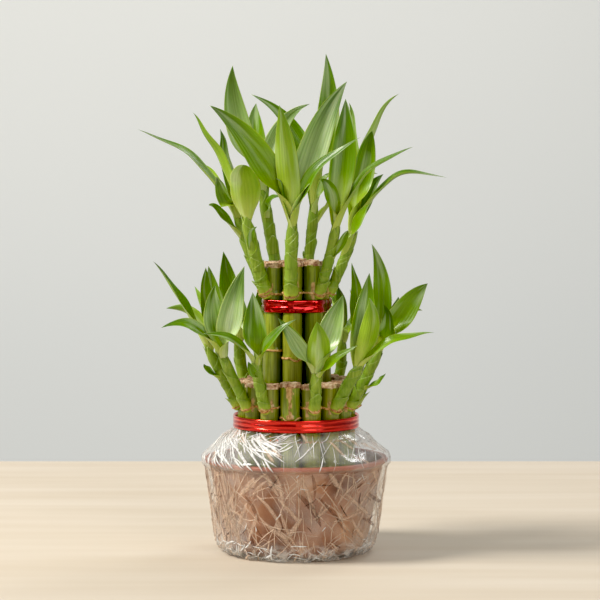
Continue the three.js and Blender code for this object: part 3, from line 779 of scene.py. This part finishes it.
# A sheath's wall: shares of its height, how far it stands proud of the stem, and how pale it is
SHEATH_WALL = [
    (0.0, -0.12, 0.0), (0.12, 0.06, 0.0), (0.5, 0.12, 0.0), (0.84, 0.17, 0.0), (0.95, 0.18, 0.7),
    (1.0, 0.14, 1.0), (0.98, 0.0, 1.0), (0.5, -0.1, 0.0), (0.0, -0.12, 0.0),
]


def draw_sheath(shape, stem, low, high, way, tint, proud, surface=STEM_SKIN, ragged=0):
    """A leaf base wrapped round the stem: highest on its own side, with its edges crossing opposite.

    low is the share of the stem where it starts, high its height, and way the side that it is on.
    """
    around = 28
    steps = len(SHEATH_WALL) - 1
    length = stem.bend.length()
    peak = stem.bearing(way, low)

    def place(turn, part):
        share, out, pale = SHEATH_WALL[round(part * steps)]
        bearing = 2 * math.pi * turn
        off = abs(math.remainder(bearing - peak, 2 * math.pi)) / math.pi
        tall = high * (0.25 + 0.75 * (1 - off) ** 1.5)
        if ragged:
            torn = Vector((math.cos(bearing) * 3, math.sin(bearing) * 3, tint * 40))
            tall *= 1 + ragged * noise.noise(torn)
        spot = min(low + tall * share / length, 1)
        lift = out + proud * share**2 * (1 - off) ** 2
        marks = {"rim": pale, "tint": tint, "foot": 1 - smooth(*BRIGHT_FOOT, spot)}
        return stem.skin(spot, bearing, lift), marks

    roll(shape, around, steps, place, surface=lambda turn, part: surface)


# Leaves up to the first width are bracts, which bare sheaths go on past. Leaves under the second have
# a smaller sheath
BRACT_WIDTH = 4.6
SMALL_LEAF = 6


def draw_sheaths(shape, stem, plan, draw):
    """The bare sheaths up the stem, one side and then the other, and one at the foot of each leaf."""
    length = stem.bend.length()
    way = stem.way.copy()
    stands = 1.7 if stem.radius < STEM else 0.9
    low = draw.uniform(0.08, 0.14)
    lowest_leaf = min(leaf.at for leaf in plan.leaves if leaf.width > BRACT_WIDTH)
    while low < lowest_leaf - 0.08:
        high = draw.uniform(7, 10)
        tint = draw.random()
        draw_sheath(shape, stem, low, high, way, tint, draw.uniform(0.2, stands))
        way = Matrix.Rotation(math.radians(180 + draw.uniform(-25, 25)), 3, "Z") @ way
        low += draw.uniform(6, 8.5) / length
    for leaf in plan.leaves:
        toward = Vector(leaf.tip) - stem.bend.end
        toward.z = 0
        below, high = (3, 5.5) if leaf.width < SMALL_LEAF else (6, 9.5)
        start = leaf.at - below / length
        draw_sheath(shape, stem, start, high, toward.normalized(), draw.random(), 0.5)


def blade_width(place):
    """A blade is narrow where it leaves the stem, widest before its middle, and pointed."""
    return math.sin(math.pi * place**0.8) + 0.3 * (1 - place) ** 4


# A blade longer than so many times its width is slender, and sways more than a broad one
SLENDER = 6
SLENDER_SWAY = 0.7
BROAD_SWAY = 0.2


def draw_leaf(shape, stem, leaf, draw):
    """A blade: it clasps the stem, opens flat with a channel down its middle, and waves and twists."""
    around, along = 24, 36
    first_row = 1 / along
    seen = Vector(leaf.face).normalized()
    tip = Vector(leaf.tip)
    away = tip - stem.bend.end
    away.z = 0
    away.normalize()
    foot = stem.bend.point(leaf.at) + away * 0.4 * STEM
    curve = bend_through(foot, Vector(leaf.mid), tip)
    clasp = (Vector((0, 0, 1)) - away).normalized()
    tint = draw.random()
    twist = draw.uniform(-0.3, 0.3)
    wave = draw.uniform(0.15, 0.4)
    phases = draw.uniform(0, 6), draw.uniform(0, 6)
    sway = SLENDER_SWAY if curve.length() > SLENDER * leaf.width else BROAD_SWAY

    def section(spot, side, half):
        """How far sideways the blade reaches, and how far its margins stand above its middle."""
        cup = 0.25 + 1.2 * (1 - smooth(0, 0.3, spot))
        channel = math.hypot(side, 0.16) - 0.16
        depth = half * (0.45 * (1 - 0.5 * spot) * channel + (1 - math.cos(cup * side)) / cup)
        return half * math.sin(cup * side) / cup, depth

    def waves(spot, side):
        """Short waves along either margin, and one long sway of the whole blade."""
        phase = phases[0] if side > 0 else phases[1]
        ripple = wave * abs(side) ** 3 * math.sin(11 * spot + phase) * math.sin(math.pi * spot)
        return ripple + sway * math.sin(12 * spot + phases[0]) * smooth(0.3, 0.6, spot)

    def place(turn, part):
        spot = max((part - first_row) / (1 - first_row), 0)
        closing = min(part / first_row, 1)
        side = math.cos(2 * math.pi * turn)
        front = math.sin(2 * math.pi * turn)
        across, upper = crossways(curve.along(spot), clasp.lerp(seen, smooth(0, 0.5, spot)))
        lean = twist * (spot - 0.2)
        sideways = across * math.cos(lean) + upper * math.sin(lean)
        out = upper * math.cos(lean) - across * math.sin(lean)
        half = 0.5 * leaf.width * blade_width(spot) * closing
        reach, depth = section(spot, side, half)
        thick = 0.3 * (1 - 0.4 * spot) * (1 - 0.5 * side * side) * min(half, 1)
        point = curve.point(spot) + sideways * reach
        point += out * (front * thick + depth + waves(spot, side))
        return point, {"across": side, "along": spot, "tint": tint, "waxy": leaf.waxy}

    roll(shape, around, along, place, surface=lambda turn, part: UPPER_FACE if turn < 0.5 else UNDER_FACE)


# The corky collar where every shoot leaves its cane: where it starts and its height
COLLAR = (0.03, 2.6)


def draw_shoot(tier, index, plan):
    name = f"shoot_{tier.name}_{index + 1}"
    draw = random.Random(name)
    shape = drawing(("across", "along", "tint", "waxy", "rim", "foot"))
    stem = Stem(tier, index, plan)
    draw_stem(shape, stem, draw.random())
    draw_sheath(shape, stem, *COLLAR, stem.way, draw.random(), 0.4, SHOOT_SCAR, ragged=0.8)
    draw_sheaths(shape, stem, plan, draw)
    for leaf in plan.leaves:
        draw_leaf(shape, stem, leaf, draw)
    for low, high, turn in plan.papery:
        draw_sheath(shape, stem, low, high, outwards(turn), draw.random(), 0.7, PAPERY, ragged=0.5)
    hand_over(shape, name, SHOOT_SURFACES)


for tier, plans in ((UPPER, UPPER_SHOOTS), (LOWER, LOWER_SHOOTS)):
    for index, plan in enumerate(plans):
        if plan:
            draw_shoot(tier, index, plan)


# Canes

# Rows up a cane are this far apart, and closer together near its nodes and its cut top
ROW_STEP = 4
FINE_STEP = 0.5
NODE_ROWS = 7
TOP_ROWS = 8

# The cut top: its rings as shares of its radius, how far down its edge is uneven in millimetres, and how
# many rows of the side below it are dried
CUT_RINGS = [0.97, 0.85, 0.6, 0.3, 0.0]
CUT_EDGE = 0.6
DRIED_ROWS = 4

# A cane: a function that gives its middle at a height, its top, its nodes and the seed of its roughness.
# A strip of cork: the heights from which and to which it goes, its side in degrees and its width
Cane = namedtuple("Cane", "middle top nodes seed")
Strip = namedtuple("Strip", "low high side width")

# What the photograph shows of single canes: bud sides, node heights and tan strips
BUD_SIDES = {"cane_upper_1": [26, -8], "cane_lower_1": [0]}
NODE_HEIGHTS = {"cane_lower_1": (69.5,), "cane_upper_1": (97.5, 130), "cane_upper_7": (102, 130)}
TAN_STRIPS = {
    "cane_lower_1": [Strip(69, 86, -4, 1.3), Strip(69, 71.2, -4, 2.6), Strip(80, 86, -4, 2.6)],
    "cane_upper_1": [Strip(97, 103, 42, 1.4)],
}

# The cane without a shoot, and so without corky strips beside one
BARE_CANE = "cane_lower_1"

# Corky strips beside each shoot's foot: from its node in height, and from its side in degrees
CORKY_STRIPS = [Strip(-3, 4, -42, 1.3), Strip(-2, 5, 40, 1.1)]


def cane_heights(top, nodes):
    """Heights of the cane's rows, close together at the nodes and at the cut top."""
    heights = {CANE_FOOT}
    for step in range(1, int((top - CANE_FOOT) / ROW_STEP)):
        heights.add(CANE_FOOT + ROW_STEP * step)
    for node in nodes:
        for step in range(-NODE_ROWS, NODE_ROWS + 1):
            heights.add(node + FINE_STEP * step)
    for step in range(TOP_ROWS + 1):
        heights.add(top - FINE_STEP * step)
    return sorted(height for height in heights if height <= top)


def round_way(bearing):
    """The direction from an axis at a bearing in radians: 0 looks to the right."""
    return Vector((math.cos(bearing), math.sin(bearing), 0))


def cane_radius(cane, height, bearing):
    """The cane's skin: nearly round, swollen at its nodes and ragged at the cut."""
    out = round_way(bearing)
    radius = CANE - 0.08 + 0.14 * noise.noise(out * 0.8 + Vector((cane.seed, 0, height * 0.03)))
    for node in cane.nodes:
        radius += 0.34 * bump(height - node, 1.0) - 0.12 * bump(height - node - 2.2, 1.0)
    top = cane.top
    flare = smooth(top - 2.6, top - 1.9, height) - 0.4 * smooth(top - 0.8, top, height)
    torn = noise.noise(out * 2.6 + Vector((cane.seed, cane.seed, height * 0.4)))
    return radius + flare * (0.4 + 0.5 * torn)


def round_from(bearing, side):
    """How far round a bearing is from a side that is given in degrees, in radians."""
    return abs(math.remainder(bearing - math.radians(side - 90), 2 * math.pi))


def corkiness(strips, height, bearing):
    """How corky the skin is there, from 0 to 1."""
    most = 0.0
    for strip in strips:
        if strip.low < height < strip.high:
            beside = round_from(bearing, strip.side) * CANE
            most = max(most, 1 - smooth(0.5 * strip.width, strip.width, beside))
    return most


def draw_cane(name, middle, top, nodes, dips, strips=()):
    """One cane. dips are the sides where each ring scar dips under a bud, in degrees."""
    draw = random.Random(name)
    seed = draw.uniform(0, 50)
    tint = draw.random()
    top += draw.uniform(-0.8, 0.8)
    cane = Cane(middle, top, [node + draw.uniform(-0.6, 0.6) for node in nodes], seed)
    shape = drawing(("scar", "tint", "sheltered"))
    skin_rows = [(height, 1.0) for height in cane_heights(top, cane.nodes)]
    rows = [(CANE_FOOT, 0.0)] + skin_rows + [(top, share) for share in CUT_RINGS]
    steps = len(rows) - 1
    first_cut = steps - len(CUT_RINGS) - DRIED_ROWS

    def place(turn, part):
        height, share = rows[round(part * steps)]
        bearing = 2 * math.pi * turn
        out = round_way(bearing)
        radius = cane_radius(cane, height, bearing) * share
        centre = middle(height)
        rough = noise.noise(out * radius * 0.7 + Vector((0, seed, 0)))
        if share < 1 and height == top:
            height += 0.55 * rough - 0.6 * (1 - share) + (0.3 if share > 0.9 else 0)
        elif height > top - CUT_EDGE:
            height += 0.4 * rough
        # Painted shade: the less a side of the cane faces out of the bunch, the darker it is painted
        facing_out = out.dot(Vector((centre.x, centre.y, 0)).normalized())
        marks = {
            "scar": corkiness(strips, height, bearing),
            "tint": tint,
            "sheltered": 1 - smooth(-0.1, 0.8, facing_out),
        }
        return Vector((centre.x, centre.y, height)) + out * radius, marks

    def surface(turn, part):
        """The dried edge of the cut reaches down the side, here more and there less."""
        ragged = 1.4 * noise.noise(outwards(360 * turn) * 2.5 + Vector((0, 0, seed)))
        return CUT_END if part * steps > first_cut + ragged else CANE_SKIN

    around = 30
    roll(shape, around, steps, place, surface=surface)
    for node, side in zip(cane.nodes, dips):
        draw_ring_scar(shape, cane, node, side, draw.uniform(1.6, 2.6))
    hand_over(shape, name, CANE_SURFACES)


# A ring scar's section: height, and how far it stands proud of the cane
RING_SECTION = [(-0.55, -0.15), (-0.48, 0.16), (0, 0.3), (0.48, 0.16), (0.55, -0.15), (-0.55, -0.15)]

# A ring scar dips over this much of a turn to either side of its bud, in radians
DIP_REACH = 0.75


def draw_ring_scar(shape, cane, node, side, drop):
    """A thin corky ring that wavers round the cane at a node, and dips under the node's bud."""
    around = 40
    steps = len(RING_SECTION) - 1

    def place(turn, part):
        rise, proud = RING_SECTION[round(part * steps)]
        bearing = 2 * math.pi * turn
        out = round_way(bearing)
        dip = drop * max(0, 1 - round_from(bearing, side) / DIP_REACH)
        waver = 0.6 * noise.noise(out * 2 + Vector((0, 0, cane.seed)))
        height = node - dip + waver + rise
        centre = cane.middle(height)
        spot = Vector((centre.x, centre.y, height))
        return spot + out * (cane_radius(cane, height, bearing) + proud), {}

    roll(shape, around, steps, place, surface=lambda turn, part: CANE_SCAR)


def draw_tier(tier):
    """A ring of canes. Buds stand on one side of a cane and the other in turn, the top one outwards."""
    for index in range(tier.count):
        angle = cane_angle(tier, index)
        name = f"cane_{tier.name}_{index + 1}"
        levels = reversed(range(len(tier.nodes)))
        dips = BUD_SIDES.get(name, [angle + 180 * (level % 2) for level in levels])
        nodes = NODE_HEIGHTS.get(name, tier.nodes)
        strips = list(TAN_STRIPS.get(name, ()))
        if name != BARE_CANE:
            node = tier.nodes[-1]
            for low, high, aside, width in CORKY_STRIPS:
                strips.append(Strip(node + low, node + high, angle + aside, width))
        draw_cane(name, partial(cane_middle, tier, index), tier.top, nodes, dips, strips)


draw_tier(UPPER)
draw_tier(LOWER)
draw_cane("cane_core", lambda height: Vector((0, 0, height)), CORE_TOP, UPPER.nodes, [40, 200])


# Bowl, gravel and film

# Rows of the bowl and the gravel are no further apart than the first, and the film's than the second
ROW_PACE = 2.5
FILM_PACE = 1.6


def round_place(turn, radius, height):
    """A place at a radius and a height. turn goes once round the axis."""
    return outwards(360 * turn) * radius + Vector((0, 0, height))


def draw_bowl():
    around = 120
    shape = drawing(())
    rows = rounded(paced(BOWL_SECTION, ROW_PACE), 2)
    steps = len(rows) - 1
    roll(shape, around, steps, lambda turn, part: (round_place(turn, *rows[round(part * steps)]), {}))
    hand_over(shape, "bowl", [finish("moulded_brown_polypropylene", bowl_finish)])


# The bed's uneven top starts at this height
BED_TOP = 40

# Pebbles on the bed, between the canes and the bowl's wall: their sizes, where and at what height
PEBBLES = 170
PEBBLE_SIZE = (1.1, 2.0)
PEBBLE_RING = (31.6, 39.2)
PEBBLE_HEIGHT = 41.3


def draw_gravel():
    """The bed's skin, with single pebbles strewn over its top."""
    around = 90
    draw = random.Random("gravel")
    shape = drawing(("tint",))
    rows = paced(GRAVEL_SECTION, ROW_PACE)
    steps = len(rows) - 1

    def place(turn, part):
        radius, height = rows[round(part * steps)]
        point = round_place(turn, radius, height)
        if height > BED_TOP:
            point.z += 0.5 * noise.noise(point * 0.4)
        return point, {"tint": 0.2 + 0.2 * noise.noise(point * 0.3)}

    roll(shape, around, steps, place)
    tint = shape.verts.layers.float["tint"]
    for _ in range(PEBBLES):
        size = draw.uniform(*PEBBLE_SIZE)
        middle = outwards(draw.uniform(0, 360)) * draw.uniform(*PEBBLE_RING)
        middle.z = PEBBLE_HEIGHT + draw.uniform(-0.4, 0.5)
        shade = draw.random()
        flat = draw.uniform(0.55, 0.8)
        for point in bmesh.ops.create_icosphere(shape, subdivisions=2, radius=size)["verts"]:
            point.co *= 1 + 0.25 * noise.noise(point.co * 0.6 + middle)
            point.co.z *= flat
            point.co += middle
            point[tint] = shade
    for face in shape.faces:
        face.smooth = True
    hand_over(shape, "gravel", [finish("washed_river_gravel", gravel_finish)])


# A row round the film: how far it is from the middle of the underside along the film, its radius and
# height, and the way out of the film there
FilmRow = namedtuple("FilmRow", "length radius height out up")


def film_rows():
    """The rows of the film's outer face, from the middle of its underside up to the tied end."""
    centre = [(share * FILM_OUTSIDE[1][0], 0) for share in (0, 0.25, 0.5, 0.75, 0.95)]
    outline = centre + rounded(paced(FILM_OUTSIDE[1:], FILM_PACE), 1)
    rows = []
    length = 0
    for number, (radius, height) in enumerate(outline):
        before = outline[max(number - 1, 0)]
        after = outline[min(number + 1, len(outline) - 1)]
        along = Vector((after[0] - before[0], after[1] - before[1])).normalized()
        length += math.hypot(radius - before[0], height - before[1])
        rows.append(FilmRow(length, radius, height, along.y, -along.x))
    return rows


FILM_ROWS = film_rows()
FILM_LENGTHS = [row.length for row in FILM_ROWS]

# The flat film is as wide as the film is round at this radius
FILM_RADIUS = 44
FILM_GIRTH = 2 * math.pi * FILM_RADIUS


def film_ridges(point, cell, width):
    """How near a point is to the straight folds between cells of that size, from 0 to 1."""
    near = noise.voronoi(point / cell)[0]
    return max(0, 1 - (near[1] - near[0]) * cell / width)


def film_lift(point, radius, height):
    """How far the crumpled film stands out at a place, and how crumpled it is there."""
    # The wall, from the edge of the underside up to the tie, has straight folds and hangs slack
    wall = smooth(30, 35, radius) * (1 - smooth(60, 61.5, height))
    folds = 0.55 * film_ridges(point, 13, 2.2) + 0.3 * film_ridges(point + Vector((40, 7, 3)), 7, 1.6)
    slack = 0.5 * noise.noise(point * 0.09)

    # The hem, low on the wall, puffs out and is crumpled
    hem = smooth(33.5, 36, radius) * (1 - smooth(4, 11, height))
    puff = hem * (0.5 + 0.9 * noise.noise(point * 0.22))

    # The neck, from the bowl's rim to the tie, is drawn inwards in pleats
    neck = smooth(48, 54, height) * (1 - smooth(60, 61.5, height))
    bearing = Vector((point.x, point.y, 0)).normalized()
    pleats = noise.noise(bearing * 11 + Vector((0, 0, point.z * 0.04)))
    gathers = neck * (0.5 * pleats - 0.9)
    crumple = hem * film_ridges(point + Vector((5, 50, 9)), 5, 1.2) + 0.16 * neck
    return wall * (folds * (1 - neck) + slack) + puff + gathers, crumple


def film_place(turn, length, proud):
    """A place on the crumpled film, so far proud of it, and how crumpled it is: turn goes once round."""
    number = min(max(bisect_right(FILM_LENGTHS, length) - 1, 0), len(FILM_ROWS) - 2)
    low, high = FILM_ROWS[number], FILM_ROWS[number + 1]
    share = min(max((length - low.length) / (high.length - low.length), 0), 1)
    row = FilmRow(*(a + (b - a) * share for a, b in zip(low, high)))
    out = outwards(360 * turn)
    point = out * row.radius + Vector((0, 0, row.height))
    lift, crumple = film_lift(point, row.radius, row.height)
    lift += proud
    point += out * (row.out * lift) + Vector((0, 0, row.up * lift))
    point.z = max(point.z, -proud, 0)
    return point, crumple


# A fold's lean from upright in degrees, its length, how far it bows aside and its width
Fold = namedtuple("Fold", "lean reach bow width")

# How far a fold stands proud of the film, and half its thickness
FOLD_PROUD = 0.14
FOLD_HALF = 0.08


def draw_fold(shape, turn, length, fold, surface):
    """A fold in the film: a thin raised line, widest in its middle and pointed at both ends."""
    sides, along = 4, 9
    lean = math.radians(fold.lean)
    up_way, side_way = math.cos(lean), math.sin(lean)

    def place(around, part):
        closing = math.sqrt(max(0, 1 - (2 * part - 1) ** 2))
        angle = 2 * math.pi * around
        far = fold.reach * (part - 0.5)
        aside = fold.bow * closing**2 + 0.5 * fold.width * closing * math.cos(angle)
        up_it = length + far * up_way - aside * side_way
        round_it = turn + (far * side_way + aside * up_way) / FILM_GIRTH
        return film_place(round_it, up_it, FOLD_PROUD + FOLD_HALF * closing * math.sin(angle))[0], {}

    roll(shape, sides, along, place, surface=lambda around, part: surface)


# Parts of the film: a side in degrees with how far the folds reach to either side of it, and a band,
# from and to so many millimetres up the film's outline
ALL_ROUND = (0, 180)
LEFT_WALL, RIGHT_WALL = (-84, 22), (84, 22)
WALL, ABOVE_HEM = (42, 80), (46, 80)
NECK = (86, 106)

# Where folds lie: how many, their finish, their sides and their band, and then their leans in degrees as
# the mean and how much they differ, and their least and greatest lengths and widths
FoldField = namedtuple("FoldField", "count surface sides band lean reach width")
# Gleaming folds are painted highlights, and shaded folds and those in hollows are painted shade
FOLD_FIELDS = [
    FoldField(160, LINE, ALL_ROUND, WALL, (4, 16), (8, 30), (0.25, 0.6)),
    FoldField(110, LINE, ALL_ROUND, WALL, (48, 18), (7, 26), (0.25, 0.55)),
    FoldField(110, LINE, ALL_ROUND, WALL, (-48, 18), (7, 26), (0.25, 0.55)),
    FoldField(30, LINE, RIGHT_WALL, (44, 80), (2, 12), (12, 32), (0.25, 0.6)),
    FoldField(30, LINE, LEFT_WALL, (44, 80), (-2, 12), (12, 32), (0.25, 0.6)),
    FoldField(60, SHADE, ALL_ROUND, (44, 82), (30, 50), (3, 9), (0.3, 0.7)),
    FoldField(26, GLEAM, ALL_ROUND, (44, 82), (20, 50), (2, 5), (0.3, 0.6)),
    FoldField(46, FLAT, ALL_ROUND, ABOVE_HEM, (-40, 16), (12, 30), (1.4, 3.4)),
    FoldField(40, FLAT, ALL_ROUND, ABOVE_HEM, (34, 18), (10, 26), (1.2, 3.0)),
    FoldField(30, PAINTED_HOLLOW_SHADE, ALL_ROUND, ABOVE_HEM, (-30, 30), (8, 22), (1.0, 2.6)),
    FoldField(40, FLAT, ALL_ROUND, (88, 106), (-40, 24), (8, 20), (1.2, 3.2)),
    FoldField(26, FLAT, (-70, 26), ABOVE_HEM, (-4, 14), (14, 30), (1.4, 3.0)),
    FoldField(56, GLEAM, (-42, 28), NECK, (-54, 10), (12, 28), (0.3, 2.0)),
    FoldField(20, GLEAM, (-30, 28), (96, 107), (66, 12), (8, 20), (0.3, 1.1)),
    FoldField(44, GLEAM, (-74, 26), (82, 104), (-26, 8), (12, 26), (0.2, 0.9)),
    FoldField(36, GLEAM, ALL_ROUND, NECK, (0, 10), (8, 20), (0.15, 0.4)),
    FoldField(26, GLEAM, (60, 60), NECK, (38, 14), (10, 22), (0.2, 0.9)),
    FoldField(40, GLEAM, (180, 90), NECK, (30, 40), (8, 20), (0.2, 0.7)),
    FoldField(50, LINE, ALL_ROUND, (33, 45), (70, 50), (3, 9), (0.4, 1.0)),
    FoldField(80, GLEAM, (-60, 80), (34, 46), (75, 40), (3, 10), (0.3, 1.1)),
]


def draw_folds(shape):
    """All the folds. Each field is drawn apart and then added, because small shapes are quicker to draw."""
    draw = random.Random("folds")
    for field in FOLD_FIELDS:
        group = drawing(("crumple",))
        side, spread = field.sides
        low, high = field.band
        for _ in range(field.count):
            turn = (side + draw.uniform(-spread, spread)) / 360
            length = draw.uniform(low, high)
            lean = draw.gauss(*field.lean)
            reach = draw.uniform(*field.reach)
            room = min(length - low, high - length) + 3
            reach = min(reach, 2 * room / max(abs(math.cos(math.radians(lean))), 0.2))
            fold = Fold(lean, reach, draw.uniform(-0.08, 0.08) * reach, draw.uniform(*field.width))
            draw_fold(group, turn, length, fold, field.surface)
        mesh = bpy.data.meshes.new("folds")
        group.to_mesh(mesh)
        group.free()
        shape.from_mesh(mesh)
        bpy.data.meshes.remove(mesh)


def draw_film():
    """Outer and inner face in one skin, from the middle of the underside up and back down again."""
    around = 260
    shape = drawing(("crumple",))
    count = len(FILM_ROWS)
    steps = 2 * count - 1

    def row(part):
        number = round(part * steps)
        inner = number >= count
        return (steps - number if inner else number), inner

    def place(turn, part):
        number, inner = row(part)
        point, crumple = film_place(turn, FILM_LENGTHS[number], -FILM_THICK if inner else 0)
        return point, {"crumple": crumple}

    def flat(turn, part):
        return turn * FILM_GIRTH, FILM_LENGTHS[row(part)[0]]

    roll(shape, around, steps, place, flat=flat)
    draw_folds(shape)
    hand_over(shape, "film_wrap", FILM_SURFACES)


draw_bowl()
draw_gravel()
draw_film()


# Ties

# Rows up each strand of a tie, and down the tie's inner face
STRAND_ROWS = 7
INNER_ROWS = 4


def draw_tie(name, course, tie, strands, surface, rough, dent):
    """A foil tie round the canes. course(turn) gives a place on its inner face and the way out there.

    rough is how deep its creases are, and dent how far apart, in millimetres.
    """
    around = 420
    shape = drawing(())
    girth = 2 * math.pi * course(0)[0].length
    rows = STRAND_ROWS * strands
    steps = rows + INNER_ROWS
    tall = tie.high - tie.low
    thick = tie.outer - tie.inner

    def place(turn, part):
        number = round(part * steps) % steps
        spot, out = course(turn)
        if number > rows:
            share = (steps - number) / INNER_ROWS
            return spot + Vector((0, 0, tie.low + tall * share)), {}
        share = number / rows
        strand = (share * strands) % 1
        waver = 0.6 * noise.noise(spot * 0.1 + Vector((0, 0, int(share * strands) * 7)))
        height = tie.low + tall * share + waver * math.sin(math.pi * share) ** 0.5
        bulge = math.sqrt(max(0, 1 - (2 * strand - 1) ** 2)) if 0 < share < 1 else 0
        near = noise.voronoi((spot + Vector((0, 0, height))) / dent)[0]
        crease = 2 * (near[1] - near[0]) - 0.6
        proud = thick * (0.35 + 0.65 * bulge) + rough * crease * (0.4 + 0.6 * bulge)
        return spot + out * max(proud, 0.1) + Vector((0, 0, height)), {}

    roll(shape, around, steps, place, flat=lambda turn, part: (turn * girth, part * tall))
    hand_over(shape, name, [surface])


def lower_course(turn):
    out = outwards(360 * turn)
    return out * LOWER_TIE.inner, out


def hugging_outline(tier, height, distance):
    """Points on a taut band round a tier's canes, and the length round to each."""
    points = []
    steps = 10
    half = 180 / tier.count
    for index in range(tier.count + 1):
        for step in range(steps + 1):
            angle = cane_angle(tier, index) + half * (2 * step / steps - 1)
            point = cane_middle(tier, index, height) + outwards(angle) * distance
            points.append(Vector((point.x, point.y, 0)))
            if index == tier.count:
                break
    lengths = [0]
    for before, after in zip(points, points[1:]):
        lengths.append(lengths[-1] + (after - before).length)
    return points, lengths


def upper_course_maker():
    middle = (UPPER_TIE.low + UPPER_TIE.high) / 2
    points, lengths = hugging_outline(UPPER, middle, UPPER_TIE.inner)

    def course(turn):
        goal = turn * lengths[-1]
        number = 0
        while number < len(lengths) - 2 and lengths[number + 1] < goal:
            number += 1
        span = lengths[number + 1] - lengths[number]
        share = (goal - lengths[number]) / span if span else 0
        spot = points[number].lerp(points[number + 1], min(max(share, 0), 1))
        along = (points[number + 1] - points[number]).normalized()
        return spot, Vector((along.y, -along.x, 0))

    return course


draw_tie("ribbon_lower", lower_course, LOWER_TIE, 3, FOIL_BRIGHT, 0.08, 5.5)
draw_tie("ribbon_upper", upper_course_maker(), UPPER_TIE, 2, FOIL_DEEP, 0.3, 8)


# Stage, light and camera


def plain_finish(tree, light, dark, size):
    """Plain painted surface: one pale colour with a very faint unevenness."""
    clouds = add(tree, "TexNoise", Vector=stretched(tree, size), Scale=1, Detail=2)
    colour = add(tree, "ValToRGB", {"stops": [(0.3, dark), (0.7, light)]}, Fac=clouds)
    return add(tree, "BsdfPrincipled", Base_Color=colour, Roughness=0.7)


def stage_sheet(name, width, depth, middle, tilt, surface):
    """A flat sheet of a width and a depth, lying down or tilted up by so many degrees."""
    shape = bmesh.new()
    stand = Matrix.Translation(Vector(middle)) @ Matrix.Rotation(math.radians(tilt), 4, "X")
    bmesh.ops.create_grid(shape, x_segments=1, y_segments=1, size=0.5)
    bmesh.ops.scale(shape, vec=(width, depth, 1), verts=shape.verts)
    bmesh.ops.transform(shape, matrix=Matrix.Scale(MM, 4) @ stand, verts=shape.verts)
    mesh = bpy.data.meshes.new(name)
    shape.to_mesh(mesh)
    shape.free()
    mesh.materials.append(surface)
    sheet = bpy.data.objects.new(name, mesh)
    bpy.context.scene.collection.objects.link(sheet)


def area_light(name, place, target, size, power, colour):
    """A round light that stands at a place and looks at a target, in metres and watts."""
    lamp = bpy.data.lights.new(name, "AREA")
    lamp.shape = "DISK"
    lamp.size = size
    lamp.energy = power
    lamp.color = linear(colour)[:3]
    holder = bpy.data.objects.new(name, lamp)
    holder.location = place
    holder.rotation_euler = (Vector(target) - Vector(place)).to_track_quat("-Z", "Y").to_euler()
    bpy.context.scene.collection.objects.link(holder)


# The table ends behind the plant, and the wall stands further back
TABLE_NEAR, TABLE_FAR = -2200, 331
TABLE_WIDTH = 5200
TABLE_MIDDLE = (0, (TABLE_NEAR + TABLE_FAR) / 2, 0)
BACKDROP_WIDTH, BACKDROP_HEIGHT = 8000, 5000
BACKDROP_MIDDLE = (0, 1500, 1000)
table_paint = finish("pale_table_top", plain_finish, "#CABFAF", "#C2B5A2", (260, 22, 20))
wall_paint = finish("pale_grey_wall", plain_finish, "#ECEEEC", "#E8EAE8", (900, 900, 900))
stage_sheet("table_top", TABLE_WIDTH, TABLE_FAR - TABLE_NEAR, TABLE_MIDDLE, 0, table_paint)
stage_sheet("backdrop", BACKDROP_WIDTH, BACKDROP_HEIGHT, BACKDROP_MIDDLE, 90, wall_paint)

area_light("window", (-1.15, -0.25, 1.25), (0, 0, 0.12), 0.6, 35, "#FFFBF4")
area_light("fill", (0.8, -1.5, 0.9), (0, 0, 0.12), 1.1, 9, "#FFFBF6")
area_light("back", (0.6, 0.8, 1.2), (0, 0, 0.15), 0.6, 6, "#FFFFFF")

# Black is set a little high, which deepens the shadows
BLACK_LEVEL = 0.01
tones = bpy.context.scene.view_settings
tones.view_transform = "Standard"
tones.use_curve_mapping = True
tones.curve_mapping.black_level = [BLACK_LEVEL] * 3

AIR_COLOUR = "#F0F2F2"
AIR_STRENGTH = 0.37
sky = bpy.data.worlds.new("studio_air")
sky.use_nodes = True
background = sky.node_tree.nodes["Background"]
background.inputs["Color"].default_value = linear(AIR_COLOUR)
background.inputs["Strength"].default_value = AIR_STRENGTH
bpy.context.scene.world = sky

# The camera stands in front of the plant and looks down at it a little
CAMERA_PLACE = (0.002, -1.0, 0.180)
CAMERA_DOWN = 3.09
CAMERA_LENS = 120
CAMERA_SENSOR = 36
lens = bpy.data.cameras.new("camera")
lens.lens = CAMERA_LENS
lens.sensor_width = CAMERA_SENSOR
camera = bpy.data.objects.new("camera", lens)
camera.location = CAMERA_PLACE
camera.rotation_euler = (math.radians(90 - CAMERA_DOWN), 0, 0)
bpy.context.scene.collection.objects.link(camera)
bpy.context.scene.camera = camera
